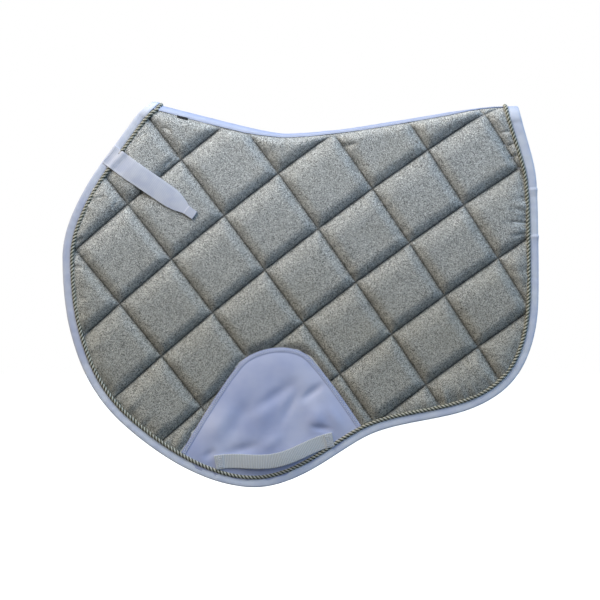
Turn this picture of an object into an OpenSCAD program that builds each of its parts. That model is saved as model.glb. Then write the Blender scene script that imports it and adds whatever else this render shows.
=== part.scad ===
// Quilted saddle pad, hung over a thin rail, with both flaps hanging straight down.
// +X runs from the front to the rear, +Y to the pad's right, +Z up.
// The origin is where the rail bears: the underside of the arch at its lowest dip.

/* [Padding] */
// Thickness of a flap: shell, wadding and lining together
panel_t = 10; // [8:0.5:12]
// Thickness of the outer fabric and of the lining
fabric_t = 1; // [0.6:0.1:1.4]
// Outer radius of the arch over the rail
arch_r = 20; // [19:0.5:24]
// How much thinner the pad is along its spine seam
spine_thinning = 5; // [3:0.5:5.5]

/* [Edging] */
// Width of the binding on each face
binding_w = 12; // [10:0.5:12]
// Thickness of the folded binding
binding_t = 0.8; // [0.5:0.1:0.8]
// Diameter of the twisted piping cord
cord_d = 5.2; // [4:0.2:5.2]
// Distance from the pad's edge to the middle of the cord
cord_inset = 14.7; // [14.7:0.1:16]
// Thickness of the tape over the spine seam
tape_t = 0.9; // [0.6:0.1:0.9]

/* [Girth patch and loop] */
// Thickness of the wear patch
patch_t = 0.9; // [0.6:0.1:1.2]
// Width of the girth loop's webbing
loop_w = 21; // [18:1:22]
// Thickness of the webbing
loop_t = 1.6; // [1.2:0.1:1.8]
// How far the loop stands off the patch in the middle
loop_rise = 9; // [8:0.5:12]
// How far the loop sags below the line between its ends
loop_sag = 13; // [6:1:14]

/* [Billet strap] */
// Width of the strap
strap_w = 30; // [24:1:30]
// Length of the strap from the pad's edge
strap_len = 154; // [140:1:160]
// Thickness of the strap
strap_t = 1.4; // [1:0.1:1.6]
// Where the strap starts to narrow
taper_start = 115; // [100:1:120]
// Width of the folded end tab
tab_w = 13; // [10:1:16]
// Length of the folded end tab
tab_len = 16; // [12:1:18]

/* [Hidden] */

// The pad's outline from the side, as cubic curves: [start, handle, handle, end]
front_top = [[-195, 50], [-212, 42], [-224, 18], [-256, -23]];
front_mid = [[-256, -23], [-267.5, -38], [-324, -112], [-324, -176]];
front_low = [[-324, -176], [-324, -339], [-257, -399], [-234, -420]];
girth_edge = [[-234, -420], [-209, -442.5], [-127, -510.5], [-46.5, -510.5]];
waist_edge = [[-46.5, -510.5], [25.5, -510.5], [78.5, -453], [126.5, -432.7]];
rear_low = [[126.5, -432.7], [216.5, -394.5], [369, -432], [369, -223]];
rear_mid = [[369, -223], [369, -160], [368, -100], [366, -70]];
rear_top = [[366, -70], [364, -30], [345, 12], [341, 44]];
ridge_rear = [[341, 44], [278, 54], [115, 6], [0, 6]];
ridge_front = [[0, 6], [-30, 6], [-120, 33], [-195, 50]];
// How far and how steeply the ridge line runs on past its two corners
ridge_run = 60;
front_slope = -0.22;
rear_slope = 0.05;

// The flaps turn about lines along X, in the middle of the panel
hinge_y = arch_r - panel_t / 2;
hinge_z = -10;
hinge_clear = panel_t / 2 + binding_t + 0.5;
leg_z = hinge_z + hinge_clear;
gap = 0.05;
fold_gap = 0.12;
seam_gap = 0.4;
arch_cols = 30;
arch_rows = 14;
binding_rows = 2 * arch_rows;
// How much the binding presses the lining under it
lining_press = 0.6;

shell_out = arch_r;
shell_in = shell_out - fabric_t;
lining_in = arch_r - panel_t;
lining_out = lining_in + fabric_t;
core_inset = binding_t + 0.5;
cord_r = cord_d / 2;
// How far the cord stands off the shell, and how far in it runs over the arch
cord_seat = 0.15;
arch_cord_inset = cord_inset + 4 * seam_gap;
cord_d_mid = shell_out + cord_r + cord_seat;
cord_top_z = hinge_z - 7;
arch_cord_stop = 5.4;
cord_sides = 8;

function lerp(a, b, t) = a + (b - a) * t;
function bezier(c, t) = pow(1 - t, 3) * c[0] + 3 * t * pow(1 - t, 2) * c[1]
    + 3 * t * t * (1 - t) * c[2] + pow(t, 3) * c[3];
function curve(c, n) = [for (i = [0:n - 1]) bezier(c, i / n)];
function closed_normal(p, i) =
    let (n = len(p), d = p[(i + 1) % n] - p[(i + n - 1) % n]) [-d[1], d[0]] / norm(d);
function inset(p, by) = [for (i = [0:len(p) - 1]) p[i] + by * closed_normal(p, i)];
// The part of a closed outline below a level line
function below(p, z) = [for (i = [0:len(p) - 1]) let (a = p[i], b = p[(i + 1) % len(p)])
    each concat(a[1] <= z ? [a] : [],
        (a[1] - z) * (b[1] - z) < 0 ? [lerp(a, b, (z - a[1]) / (b[1] - a[1]))] : [])];

outline = concat(curve(front_top, 8), curve(front_mid, 8), curve(front_low, 14),
    curve(girth_edge, 12), curve(waist_edge, 10), curve(rear_low, 20), curve(rear_mid, 3),
    curve(rear_top, 8), curve(ridge_rear, 10), curve(ridge_front, 8));

// Tables along the ridge and the two short edges, for reading one value from another
ridge_line = concat([bezier(ridge_front, 1) + ridge_run * [-1, -front_slope]],
    [for (i = [0:12]) bezier(ridge_front, 1 - i / 12)],
    [for (i = [1:12]) bezier(ridge_rear, 1 - i / 12)],
    [bezier(ridge_rear, 0) + ridge_run * [1, rear_slope]]);
front_line = [for (i = [0:16]) let (p = bezier(front_top, 1 - i / 16)) [p[1], p[0]]];
rear_line = [for (i = [0:16]) let (p = bezier(rear_top, i / 16)) [p[1], p[0]]];

// The arch's section: an arc about a centre below the ridge, then a straight leg
function centre_z(x) = lookup(x, ridge_line) - arch_r;
function arc_end(x) = let (drop = hinge_z - centre_z(x))
    centre_z(x) >= leg_z ? 90 : atan2(hinge_y, drop) - asin(hinge_clear / norm([hinge_y, drop]));
function arc_len(x) = arch_r * arc_end(x) * PI / 180;
function half_len(x) = arc_len(x) + max(0, centre_z(x) - leg_z);
function outer_r(a) = shell_out - (tape_t + seam_gap) * pow(cos(a), 2);
function inner_r(a) = lining_in + spine_thinning * pow(cos(a), 2);
// A point of the arch: s along the section from the ridge, off out from a face
function on_arch(x, s, off, outer = true) =
    let (a = min(abs(s), arc_len(x)) / arch_r * 180 / PI, drop = max(0, abs(s) - arc_len(x)),
         r = (outer ? outer_r(a) : inner_r(a)) + off)
    [x, sign(s) * r * sin(a), centre_z(x) + r * cos(a) - drop];
// Where the front or rear edge is, u of the way down one side
function edge_x(line, u, x, n = 5) = n == 0 ? x
    : edge_x(line, u, lookup(on_arch(x, u * half_len(x), 0)[2], line), n - 1);
function front_x(u) = edge_x(front_line, u, -210);
function rear_x(u) = edge_x(rear_line, u, 350);
// A distance in from a slanting edge, measured along X instead of square to the edge
function along_x(edge, u, in) = let (u0 = max(0, u - 0.1), u1 = min(1, u + 0.1),
    run = on_arch(edge(u1), u1 * half_len(edge(u1)), 0)[2] - on_arch(edge(u0), u0 * half_len(edge(u0)), 0)[2],
    lean = (edge(u1) - edge(u0)) / max(norm([run, 0]), 1)) in * norm([1, lean]);
function across(u, t, in) = lerp(front_x(u) + along_x(function (v) front_x(v), u, in),
    rear_x(u) - along_x(function (v) rear_x(v), u, in), t);

// A closed slab between two grids of points of the same size
module slab(top, bottom) {
    n = len(top);
    m = len(top[0]);
    o = n * m;
    function quad(a, b, c, d) = [[a, b, c], [a, c, d]];
    faces = concat(
        [for (i = [0:n - 2], j = [0:m - 2]) let (k = i * m + j) each quad(k, k + 1, k + m + 1, k + m)],
        [for (i = [0:n - 2], j = [0:m - 2]) let (k = o + i * m + j) each quad(k, k + m, k + m + 1, k + 1)],
        [for (j = [0:m - 2]) each quad(j, o + j, o + j + 1, j + 1)],
        [for (j = [0:m - 2]) let (k = (n - 1) * m + j) each quad(k, k + 1, o + k + 1, o + k)],
        [for (i = [0:n - 2]) let (k = i * m) each quad(k, k + m, o + k + m, o + k)],
        [for (i = [0:n - 2]) let (k = i * m + m - 1) each quad(k, o + k, o + k + m, k + m)]);
    polyhedron(concat([for (r = top) each r], [for (r = bottom) each r]), faces);
}

// A closed tube through rings of the same number of points, with capped ends
module tube(rings, caps) {
    n = len(rings);
    m = len(rings[0]);
    sides = [for (i = [0:n - 2], j = [0:m - 1]) let (k = (j + 1) % m)
        each [[i * m + j, i * m + k, (i + 1) * m + k], [i * m + j, (i + 1) * m + k, (i + 1) * m + j]]];
    polyhedron([for (r = rings) each r], concat(sides,
        [for (c = caps) [c[2], c[1], c[0]]], [for (c = caps) [for (v = c) (n - 1) * m + v]]));
}

function fan(m) = [for (i = [1:m - 2]) [0, i, i + 1]];
function ring(centre, out, side, r) = [for (k = [0:cord_sides - 1])
    let (a = 360 * k / cord_sides) centre + r * cos(a) * out + r * sin(a) * side];

// A half layer of the arch on the pad's left, between two depths below a face
module arch_layer(outer, top_off, bottom_off) {
    grid = function (off, face) [for (i = [0:arch_rows]) [for (j = [0:arch_cols])
        let (u = i / arch_rows, x = across(u, j / arch_cols, core_inset))
        on_arch(x, -u * half_len(x), off, face)]];
    slab(grid(top_off, outer[0]), grid(bottom_off, outer[1]));
}

// A tape along the spine seam, as wide on each side of the ridge as half(x)
module ridge_tape(half, off, t, outer, end_in) {
    grid = function (o) [for (i = [0:arch_rows]) [for (j = [0:arch_cols])
        let (x = across(0, j / arch_cols, end_in), s = lerp(half(x), -half(x), i / arch_rows))
        on_arch(x, s == 0 ? 0.001 : s, o, outer)]];
    slab(grid(off + t), grid(off));
}

// The folded binding over the arch, at the front (dir 1) or the rear (dir -1)
module arch_binding(edge, dir) {
    u_of = function (i) lerp(-1, 1, i / binding_rows);
    rings = [for (i = [0:binding_rows]) let (u = u_of(i), e = edge(abs(u)),
        put = function (in, off, face) let (x = e + dir * along_x(edge, abs(u), in))
            on_arch(x, u * half_len(x), off, face))
        [put(0, binding_t, true), put(binding_w, binding_t, true), put(binding_w, fold_gap, true),
         put(binding_t, fold_gap, true), put(binding_t, -fold_gap, false), put(binding_w, -fold_gap, false),
         put(binding_w, -binding_t, false), put(0, -binding_t, false)]];
    caps = [[0, 1, 2], [0, 2, 3], [0, 3, 4], [0, 4, 7], [4, 5, 6], [4, 6, 7]];
    if (dir > 0) tube(rings, caps);
    else mirror([1, 0, 0]) tube([for (r = rings) [for (p = r) [-p[0], p[1], p[2]]]], caps);
}

// The piping cord over the arch, beside the binding
module arch_cord(edge, dir) {
    e_at = function (u) edge(abs(u)) + dir * along_x(edge, abs(u), arch_cord_inset);
    place = function (u) let (x = e_at(u), reach = half_len(x) - arch_cord_stop)
        on_arch(x, u * reach, cord_r + cord_seat);
    rings = [for (i = [0:binding_rows]) let (u = lerp(-1, 1, i / binding_rows), step = 0.02,
        run = place(min(1, u + step)) - place(max(-1, u - step)), along = run / norm(run),
        side = cross(along, [1, 0, 0]) / norm(cross(along, [1, 0, 0])))
        ring(place(u), side, cross(along, side), cord_r)];
    tube(rings, fan(cord_sides));
}

// A flat layer of the left flap: an outline between two distances from the middle plane
module layer(p, d0, d1) {
    translate([0, -d0, 0]) rotate([90, 0, 0]) linear_extrude(d1 - d0) polygon(p);
}

function flap_outline(in) = below(inset(outline, in), hinge_z);

module left_wadding_solid() {
    rounding_r = panel_t / 2 - fabric_t;
    core = flap_outline(core_inset);
    start = [for (p = core) if (p[1] == hinge_z) p[0]];
    union() {
        layer(core, lining_out, shell_in);
        translate([min(start) + rounding_r, -hinge_y, hinge_z]) rotate([0, 90, 0])
            cylinder(r = rounding_r, h = max(start) - min(start) - 2 * rounding_r, $fn = 32);
    }
}

module left_binding_solid() {
    difference() {
        layer(flap_outline(0), lining_in + lining_press - binding_t, shell_out + binding_t);
        layer(below(inset(outline, binding_w), hinge_z + 1), lining_in - 2, shell_out + 2);
        layer(below(inset(outline, binding_t), hinge_z + 1), lining_in + lining_press - gap,
            shell_out + gap);
    }
}

// The lining is pressed thinner where the binding folds over it
module left_lining_solid() {
    layer(flap_outline(core_inset), lining_in + lining_press, lining_out);
    layer(flap_outline(binding_w + fold_gap), lining_in, lining_out);
}

module left_cord_solid() {
    path = [for (p = inset(outline, cord_inset)) if (p[1] < cord_top_z) [p[0], -cord_d_mid, p[1]]];
    n = len(path);
    rings = [for (i = [0:n - 1])
        let (run = path[min(n - 1, i + 1)] - path[max(0, i - 1)], along = run / norm(run))
        ring(path[i], [0, -1, 0], cross(along, [0, -1, 0]), cord_r)];
    tube(rings, fan(cord_sides));
}

// The wear patch is a dome that runs down to the cord
patch_left = [[-165, -484], [-116, -400], [-90, -360], [-68, -332]];
patch_top = [[-68, -332], [-48, -306], [18, -294], [42, -328]];
patch_right = [[42, -328], [62, -350], [98, -398], [140, -468]];
patch_inset = cord_inset + cord_r + 0.3;

module left_girth_patch_solid() {
    dome = concat(curve(patch_left, 4), curve(patch_top, 10), curve(patch_right, 4),
        [bezier(patch_right, 1)]);
    intersection() {
        layer(below(inset(outline, patch_inset), hinge_z), shell_out, shell_out + patch_t);
        layer(dome, shell_out - 1, shell_out + patch_t + 1);
    }
}

// The girth loop runs between two sewn ends on the patch
loop_start = [-99, -474];
loop_end = [64, -437];
loop_steps = 20;
loop_flat = 0.08;
loop_angle = atan2(loop_end[1] - loop_start[1], loop_end[0] - loop_start[0]);
loop_seat = shell_out + patch_t + fold_gap;

function loop_at(t) = let (c = lerp(loop_start, loop_end, t), sag = loop_sag * pow(sin(180 * t), 2),
    f = min(1, max(0, (t - loop_flat) / (1 - 2 * loop_flat))), rise = loop_rise * pow(sin(180 * f), 1.4))
    [c[0] + sag * sin(loop_angle), -(loop_seat + rise), c[1] - sag * cos(loop_angle)];

module left_girth_loop_solid() {
    rings = [for (i = [0:loop_steps]) let (t = i / loop_steps, p = loop_at(t),
        run = loop_at(min(1, t + 0.01)) - loop_at(max(0, t - 0.01)), along = run / norm(run),
        out = cross(along, [0, 0, 1]) / norm(cross(along, [0, 0, 1])), up = cross(out, along))
        [p + loop_w / 2 * up, p + loop_w / 2 * up + loop_t * out,
         p - loop_w / 2 * up + loop_t * out, p - loop_w / 2 * up]];
    tube(rings, fan(4));
}

tack_w = 6;
tack_h = 18;
tack_t = 0.6;
tack_in = 6;

module left_loop_tacks_solid() {
    for (end = [[loop_start, tack_in], [loop_end, -tack_in]])
        translate([end[0][0], -(loop_seat + loop_t + 0.1), end[0][1]]) rotate([0, -loop_angle, 0])
            translate([end[1] - tack_w / 2, -tack_t, -tack_h / 2]) cube([tack_w, tack_t, tack_h]);
}

// The billet strap: its root is sewn across the front edge, over the cord
root_mid = [-256.3, -25.8];
root_angle = 43.7;
strap_angle = 35.7;
strap_hinge_in = 25.2;
strap_hinge_d = 21.4;
strap_d = 22;
// Where the strap's underside starts, off the shell, and the length over which it rises to its own plane
strap_start = 0.9;
strap_lift_len = 2.6;
root_end = 24;
bump_in = [9.4, 18.4];
bump_d = cord_d_mid + cord_r + 0.4;
stitch_in = [20.1, 22.8];
tape_under = 0.75;

// Frames: X along the strap (or straight in from the edge), -Y out from the pad
module strap_frame(angle) {
    translate([root_mid[0], 0, root_mid[1]]) rotate([0, angle, 0]) children();
}

// An outline in a strap frame, between two distances from the middle plane
module strap_layer(p, d0, d1) {
    strap_frame(strap_angle) layer(p, d0, d1);
}

// A section across the root's edge line, as [distance in, distance out] points
module strap_section(p) {
    strap_frame(root_angle) translate([0, 0, -strap_w]) linear_extrude(2 * strap_w)
        polygon([for (q = p) [q[0], -q[1]]]);
}

strap_shape = [[-10, strap_w / 2], [taper_start, strap_w / 2], [strap_len - tab_len, tab_w / 2],
    [strap_len - tab_len, -tab_w / 2], [taper_start + 6, -strap_w / 2], [-10, -strap_w / 2]];

module left_strap_root_solid() {
    face = shell_out + binding_t + gap;
    intersection() {
        strap_section([[0.3, face], [bump_in[0], face], [bump_in[0], bump_d], [bump_in[1], bump_d],
            [bump_in[1], shell_out + gap], [root_end, shell_out + gap],
            [root_end, shell_out + strap_t], [bump_in[1] + 1, shell_out + strap_t],
            [bump_in[1] + 1, bump_d + strap_t], [bump_in[0] - 1, bump_d + strap_t],
            [bump_in[0] - 1, face + strap_t], [0.3, face + strap_t]]);
        strap_layer(strap_shape, shell_out - 1, bump_d + 5);
    }
}

module left_root_stitching_solid() {
    stitch_d = shell_out + strap_t + gap;
    for (in = stitch_in) strap_frame(root_angle)
        translate([in - 0.5, -stitch_d - 0.4, -strap_w * 0.42]) cube([1, 0.4, strap_w * 0.84]);
}

// The strap's sewn end is rolled round the hinge line
module left_billet_strap_solid() {
    under = shell_out + strap_start;
    rise = strap_hinge_in + 2.4;
    far = strap_len + 20;
    roll_r = strap_t / 2;
    intersection() {
        strap_section([[strap_hinge_in, under], [rise, under], [rise + strap_lift_len, strap_d],
            [far, strap_d], [far, strap_d + strap_t], [rise + strap_lift_len - 0.6, strap_d + strap_t],
            [strap_hinge_in, strap_hinge_d + roll_r - gap]]);
        strap_layer(strap_shape, shell_out, strap_d + 5);
    }
    strap_frame(root_angle) translate([strap_hinge_in, -strap_hinge_d, -strap_w / 2 + 0.5])
        cylinder(r = roll_r, h = strap_w - 1, $fn = 24);
}

module under_strap(x0, x1, w) {
    strap_layer([[x0, w / 2], [x1, w / 2], [x1, -w / 2], [x0, -w / 2]], strap_d - gap - tape_under,
        strap_d - gap);
}

module left_strap_tab_solid() {
    x0 = strap_len - tab_len + gap;
    strap_layer([[x0, tab_w / 2], [strap_len, tab_w / 2], [strap_len, -tab_w / 2], [x0, -tab_w / 2]],
        strap_d - 0.4, strap_d + strap_t + 0.4);
}

module to_right() {
    mirror([0, 1, 0]) children();
}

// The label is caught under the tape's lower edge: its ends, and how far it runs in and out
label_x = [-157, -142];
label_s = [-4, 4.5];
function tape_half(x) = arch_r * PI / 180 * lookup(x, [[-200, 60], [-60, 52], [30, 46], [350, 44]]);

module spine_tape() {
    color([0.86, 0.88, 0.94]) ridge_tape(function (x) tape_half(x), seam_gap, tape_t, true,
        arch_cord_inset + cord_r + 4 * seam_gap);
}
module spine_lining_tape() {
    color([0.84, 0.86, 0.9]) ridge_tape(function (x) arch_r * PI / 180 * 32, -seam_gap - tape_t, tape_t,
        false, binding_w + 4);
}
module care_label() {
    grid = function (off) [for (i = [0:3]) [for (j = [0:2]) let (x = lerp(label_x[0], label_x[1], j / 2))
        on_arch(x, -(tape_half(x) + lerp(label_s[0], label_s[1], i / 3)), off)]];
    color([0.12, 0.12, 0.13]) slab(grid(seam_gap - fold_gap), grid(fold_gap));
}
module front_arch_binding() color([0.82, 0.84, 0.9]) arch_binding(function (u) front_x(u), 1);
module rear_arch_binding() color([0.82, 0.84, 0.9]) arch_binding(function (u) rear_x(u), -1);
module front_arch_cord() color([0.5, 0.5, 0.38]) arch_cord(function (u) front_x(u), 1);
module rear_arch_cord() color([0.5, 0.5, 0.38]) arch_cord(function (u) rear_x(u), -1);

module left_arch_shell() color([0.6, 0.61, 0.61]) arch_layer([true, true], 0, -fabric_t);
module left_arch_wadding() {
    color([0.95, 0.95, 0.93]) arch_layer([true, false], -fabric_t, fabric_t);
}
module left_arch_lining() color([0.88, 0.89, 0.91]) arch_layer([false, false], fabric_t, 0);
module right_arch_shell() to_right() left_arch_shell();
module right_arch_wadding() to_right() left_arch_wadding();
module right_arch_lining() to_right() left_arch_lining();

module left_shell() color([0.6, 0.61, 0.61]) layer(flap_outline(core_inset), shell_in, shell_out);
module left_wadding() color([0.95, 0.95, 0.93]) left_wadding_solid();
module left_lining() color([0.88, 0.89, 0.91]) left_lining_solid();
module left_binding() color([0.82, 0.84, 0.9]) left_binding_solid();
module left_cord() color([0.5, 0.5, 0.38]) left_cord_solid();
module left_girth_patch() color([0.8, 0.83, 0.92]) left_girth_patch_solid();
module left_girth_loop() color([0.74, 0.75, 0.77]) left_girth_loop_solid();
module left_loop_tacks() color([0.9, 0.9, 0.92]) left_loop_tacks_solid();
module left_strap_root() color([0.83, 0.84, 0.9]) left_strap_root_solid();
module left_root_stitching() color([0.9, 0.9, 0.92]) left_root_stitching_solid();
module left_billet_strap() color([0.83, 0.84, 0.9]) left_billet_strap_solid();
module left_hook_tape() color([0.93, 0.93, 0.95]) under_strap(88, 112, strap_w - 8);
module left_loop_tape() color([0.9, 0.9, 0.93]) under_strap(34, 82, strap_w - 8);
module left_strap_tab() color([0.83, 0.84, 0.9]) left_strap_tab_solid();

module right_shell() to_right() left_shell();
module right_wadding() to_right() left_wadding();
module right_lining() to_right() left_lining();
module right_binding() to_right() left_binding();
module right_cord() to_right() left_cord();
module right_girth_patch() to_right() left_girth_patch();
module right_girth_loop() to_right() left_girth_loop();
module right_loop_tacks() to_right() left_loop_tacks();
module right_strap_root() to_right() left_strap_root();
module right_root_stitching() to_right() left_root_stitching();
module right_billet_strap() to_right() left_billet_strap();
module right_hook_tape() to_right() left_hook_tape();
module right_loop_tape() to_right() left_loop_tape();
module right_strap_tab() to_right() left_strap_tab();

spine_tape();
spine_lining_tape();
care_label();
front_arch_binding();
rear_arch_binding();
front_arch_cord();
rear_arch_cord();
left_arch_shell();
left_arch_wadding();
left_arch_lining();
right_arch_shell();
right_arch_wadding();
right_arch_lining();
left_shell();
left_wadding();
left_lining();
left_binding();
left_cord();
left_girth_patch();
left_girth_loop();
left_loop_tacks();
left_strap_root();
left_root_stitching();
left_billet_strap();
left_hook_tape();
left_loop_tape();
left_strap_tab();
right_shell();
right_wadding();
right_lining();
right_binding();
right_cord();
right_girth_patch();
right_girth_loop();
right_loop_tacks();
right_strap_root();
right_root_stitching();
right_billet_strap();
right_hook_tape();
right_loop_tape();
right_strap_tab();
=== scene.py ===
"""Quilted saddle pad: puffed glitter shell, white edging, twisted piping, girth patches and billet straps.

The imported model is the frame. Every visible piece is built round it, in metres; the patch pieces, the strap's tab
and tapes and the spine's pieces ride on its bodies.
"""
from __future__ import annotations

import logging
import math
from dataclasses import dataclass, field
from enum import Enum
from functools import reduce
from typing import Callable, Iterable, Sequence

import bpy
import numpy as np
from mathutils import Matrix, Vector

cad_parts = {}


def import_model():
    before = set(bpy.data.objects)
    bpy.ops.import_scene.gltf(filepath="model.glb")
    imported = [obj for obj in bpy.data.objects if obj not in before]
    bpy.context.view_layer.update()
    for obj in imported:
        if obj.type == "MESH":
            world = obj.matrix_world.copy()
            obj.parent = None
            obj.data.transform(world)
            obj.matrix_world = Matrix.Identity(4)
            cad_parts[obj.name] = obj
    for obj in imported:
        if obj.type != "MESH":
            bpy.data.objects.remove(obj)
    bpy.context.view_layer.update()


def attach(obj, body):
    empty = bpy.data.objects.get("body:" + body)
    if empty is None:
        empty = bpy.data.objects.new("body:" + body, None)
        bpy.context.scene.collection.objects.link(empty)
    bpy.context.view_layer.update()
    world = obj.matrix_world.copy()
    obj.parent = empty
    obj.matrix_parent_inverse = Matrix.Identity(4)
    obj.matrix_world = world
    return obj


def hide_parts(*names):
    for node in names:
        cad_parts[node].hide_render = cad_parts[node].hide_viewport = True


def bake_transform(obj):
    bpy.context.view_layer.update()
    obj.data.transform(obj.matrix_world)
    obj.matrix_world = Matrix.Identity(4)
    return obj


log = logging.getLogger("saddle_pad")

MM = 0.001
# The way the left flap's visible face looks
OUT_LEFT = (0.0, -1.0, 0.0)
Array = np.ndarray


class Side(Enum):
    """The two halves of the pad, by the sign of Y."""

    LEFT = -1
    RIGHT = 1

    @property
    def word(self) -> str:
        """The side's name as the CAD nodes spell it."""
        return self.name.lower()


# ---------------------------------------------------------------------------------------------- curves


def bezier(points: Sequence[Sequence[float]], count: int) -> Array:
    """Samples a cubic curve.

    Args:
        points: Start, two handles and end, in millimetres.
        count: How many steps to take.

    Returns:
        count + 1 points in metres.
    """
    p = np.array(points, float) * MM
    t = np.linspace(0, 1, count + 1)[:, None]
    return (1 - t) ** 3 * p[0] + 3 * t * (1 - t) ** 2 * p[1] + 3 * t * t * (1 - t) * p[2] + t**3 * p[3]


def chain(curves: Sequence[Sequence[Sequence[float]]], count: int) -> Array:
    """Joins cubic curves end to end into one polyline."""
    parts = [bezier(c, count)[:-1] for c in curves]
    return np.vstack(parts + [bezier(curves[-1], count)[-1:]])


def smooth(t: Array) -> Array:
    """The smooth step from 0 to 1."""
    t = np.clip(t, 0, 1)
    return t * t * (3 - 2 * t)


def lengths(path: Array) -> Array:
    """Distance along a polyline at each of its points."""
    return np.concatenate([[0], np.cumsum(np.linalg.norm(np.diff(path, axis=0), axis=1))])


def unit(vectors: Array) -> Array:
    """The vectors with a length of 1."""
    return vectors / np.linalg.norm(vectors, axis=-1, keepdims=True)


def directions(path: Array) -> Array:
    """The unit direction of a polyline at each of its points."""
    return unit(np.gradient(path, axis=0))


def left_of(run: Array) -> Array:
    """The side-view directions turned a quarter turn to the left."""
    return np.stack([-run[:, 1], run[:, 0]], axis=1)


def slant(degrees: float) -> tuple[float, float]:
    """The cosine and sine of an angle in degrees."""
    return math.cos(math.radians(degrees)), math.sin(math.radians(degrees))


def from_fold(x: Array, z: Array, middle: Sequence[float], degrees: float) -> tuple[Array, Array]:
    """Distances of side-view points along and across a fold's line, from its middle, which is in mm."""
    cos, sin = slant(degrees)
    px, pz = x - middle[0] * MM, z - middle[1] * MM
    return px * cos + pz * sin, pz * cos - px * sin


def resample(path: Array, step: float, *extra: Array) -> tuple[Array, ...]:
    """Spreads points evenly along a polyline, with any per-point values that go with it.

    Args:
        path: The polyline.
        step: The wanted distance between points.
        extra: Arrays with one row for each point.

    Returns:
        The new points and the new rows of each extra array.
    """
    along = lengths(path)
    wanted = np.linspace(0, along[-1], max(2, int(round(along[-1] / step)) + 1))
    out = []
    for values in (path, *extra):
        columns = values.reshape(len(values), -1)
        new = np.stack([np.interp(wanted, along, c) for c in columns.T], axis=1)
        out.append(new.reshape((len(wanted),) + values.shape[1:]))
    return tuple(out)


def nearest(points: Array, line: Array) -> tuple[Array, Array]:
    """Finds each point's place on a polyline.

    Args:
        points: Points in the side view.
        line: The polyline, in the same plane.

    Returns:
        Signed distances, positive to the line's left, and distances along the line.
    """
    a, d = line[:-1], np.diff(line, axis=0)
    along, length = lengths(line), np.linalg.norm(d, axis=1)
    dist, where = np.empty(len(points)), np.empty(len(points))
    for lo in range(0, len(points), 4000):
        q = points[lo : lo + 4000, None, :] - a
        t = np.clip((q * d).sum(2) / (length**2), 0, 1)
        off = q - t[:, :, None] * d
        r = np.hypot(off[:, :, 0], off[:, :, 1])
        k = r.argmin(1)
        rows = np.arange(len(k))
        cross = d[k, 0] * q[rows, k, 1] - d[k, 1] * q[rows, k, 0]
        dist[lo : lo + 4000] = r[rows, k] * np.where(cross >= 0, 1, -1)
        where[lo : lo + 4000] = along[k] + t[rows, k] * length[k]
    return dist, where


class Noise:
    """Seeded smooth noise, the same on every run."""

    def __init__(self, seed: int) -> None:
        """Fills a small lattice with seeded values."""
        self.lattice = np.random.default_rng(seed).uniform(-1, 1, (256, 256))

    def at(self, x: Array, y: Array | float = 0.0) -> Array:
        """Reads the noise, from -1 to 1, at lattice coordinates."""
        x, y = np.broadcast_arrays(np.asarray(x, float), np.asarray(y, float))
        i, j = np.floor(x).astype(int), np.floor(y).astype(int)
        u, v = smooth(x - i), smooth(y - j)
        g = self.lattice
        a, b = g[i % 256, j % 256], g[(i + 1) % 256, j % 256]
        c, d = g[i % 256, (j + 1) % 256], g[(i + 1) % 256, (j + 1) % 256]
        return (a * (1 - u) + b * u) * (1 - v) + (c * (1 - u) + d * u) * v


# ------------------------------------------------------------------------------------------- the shape


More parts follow.
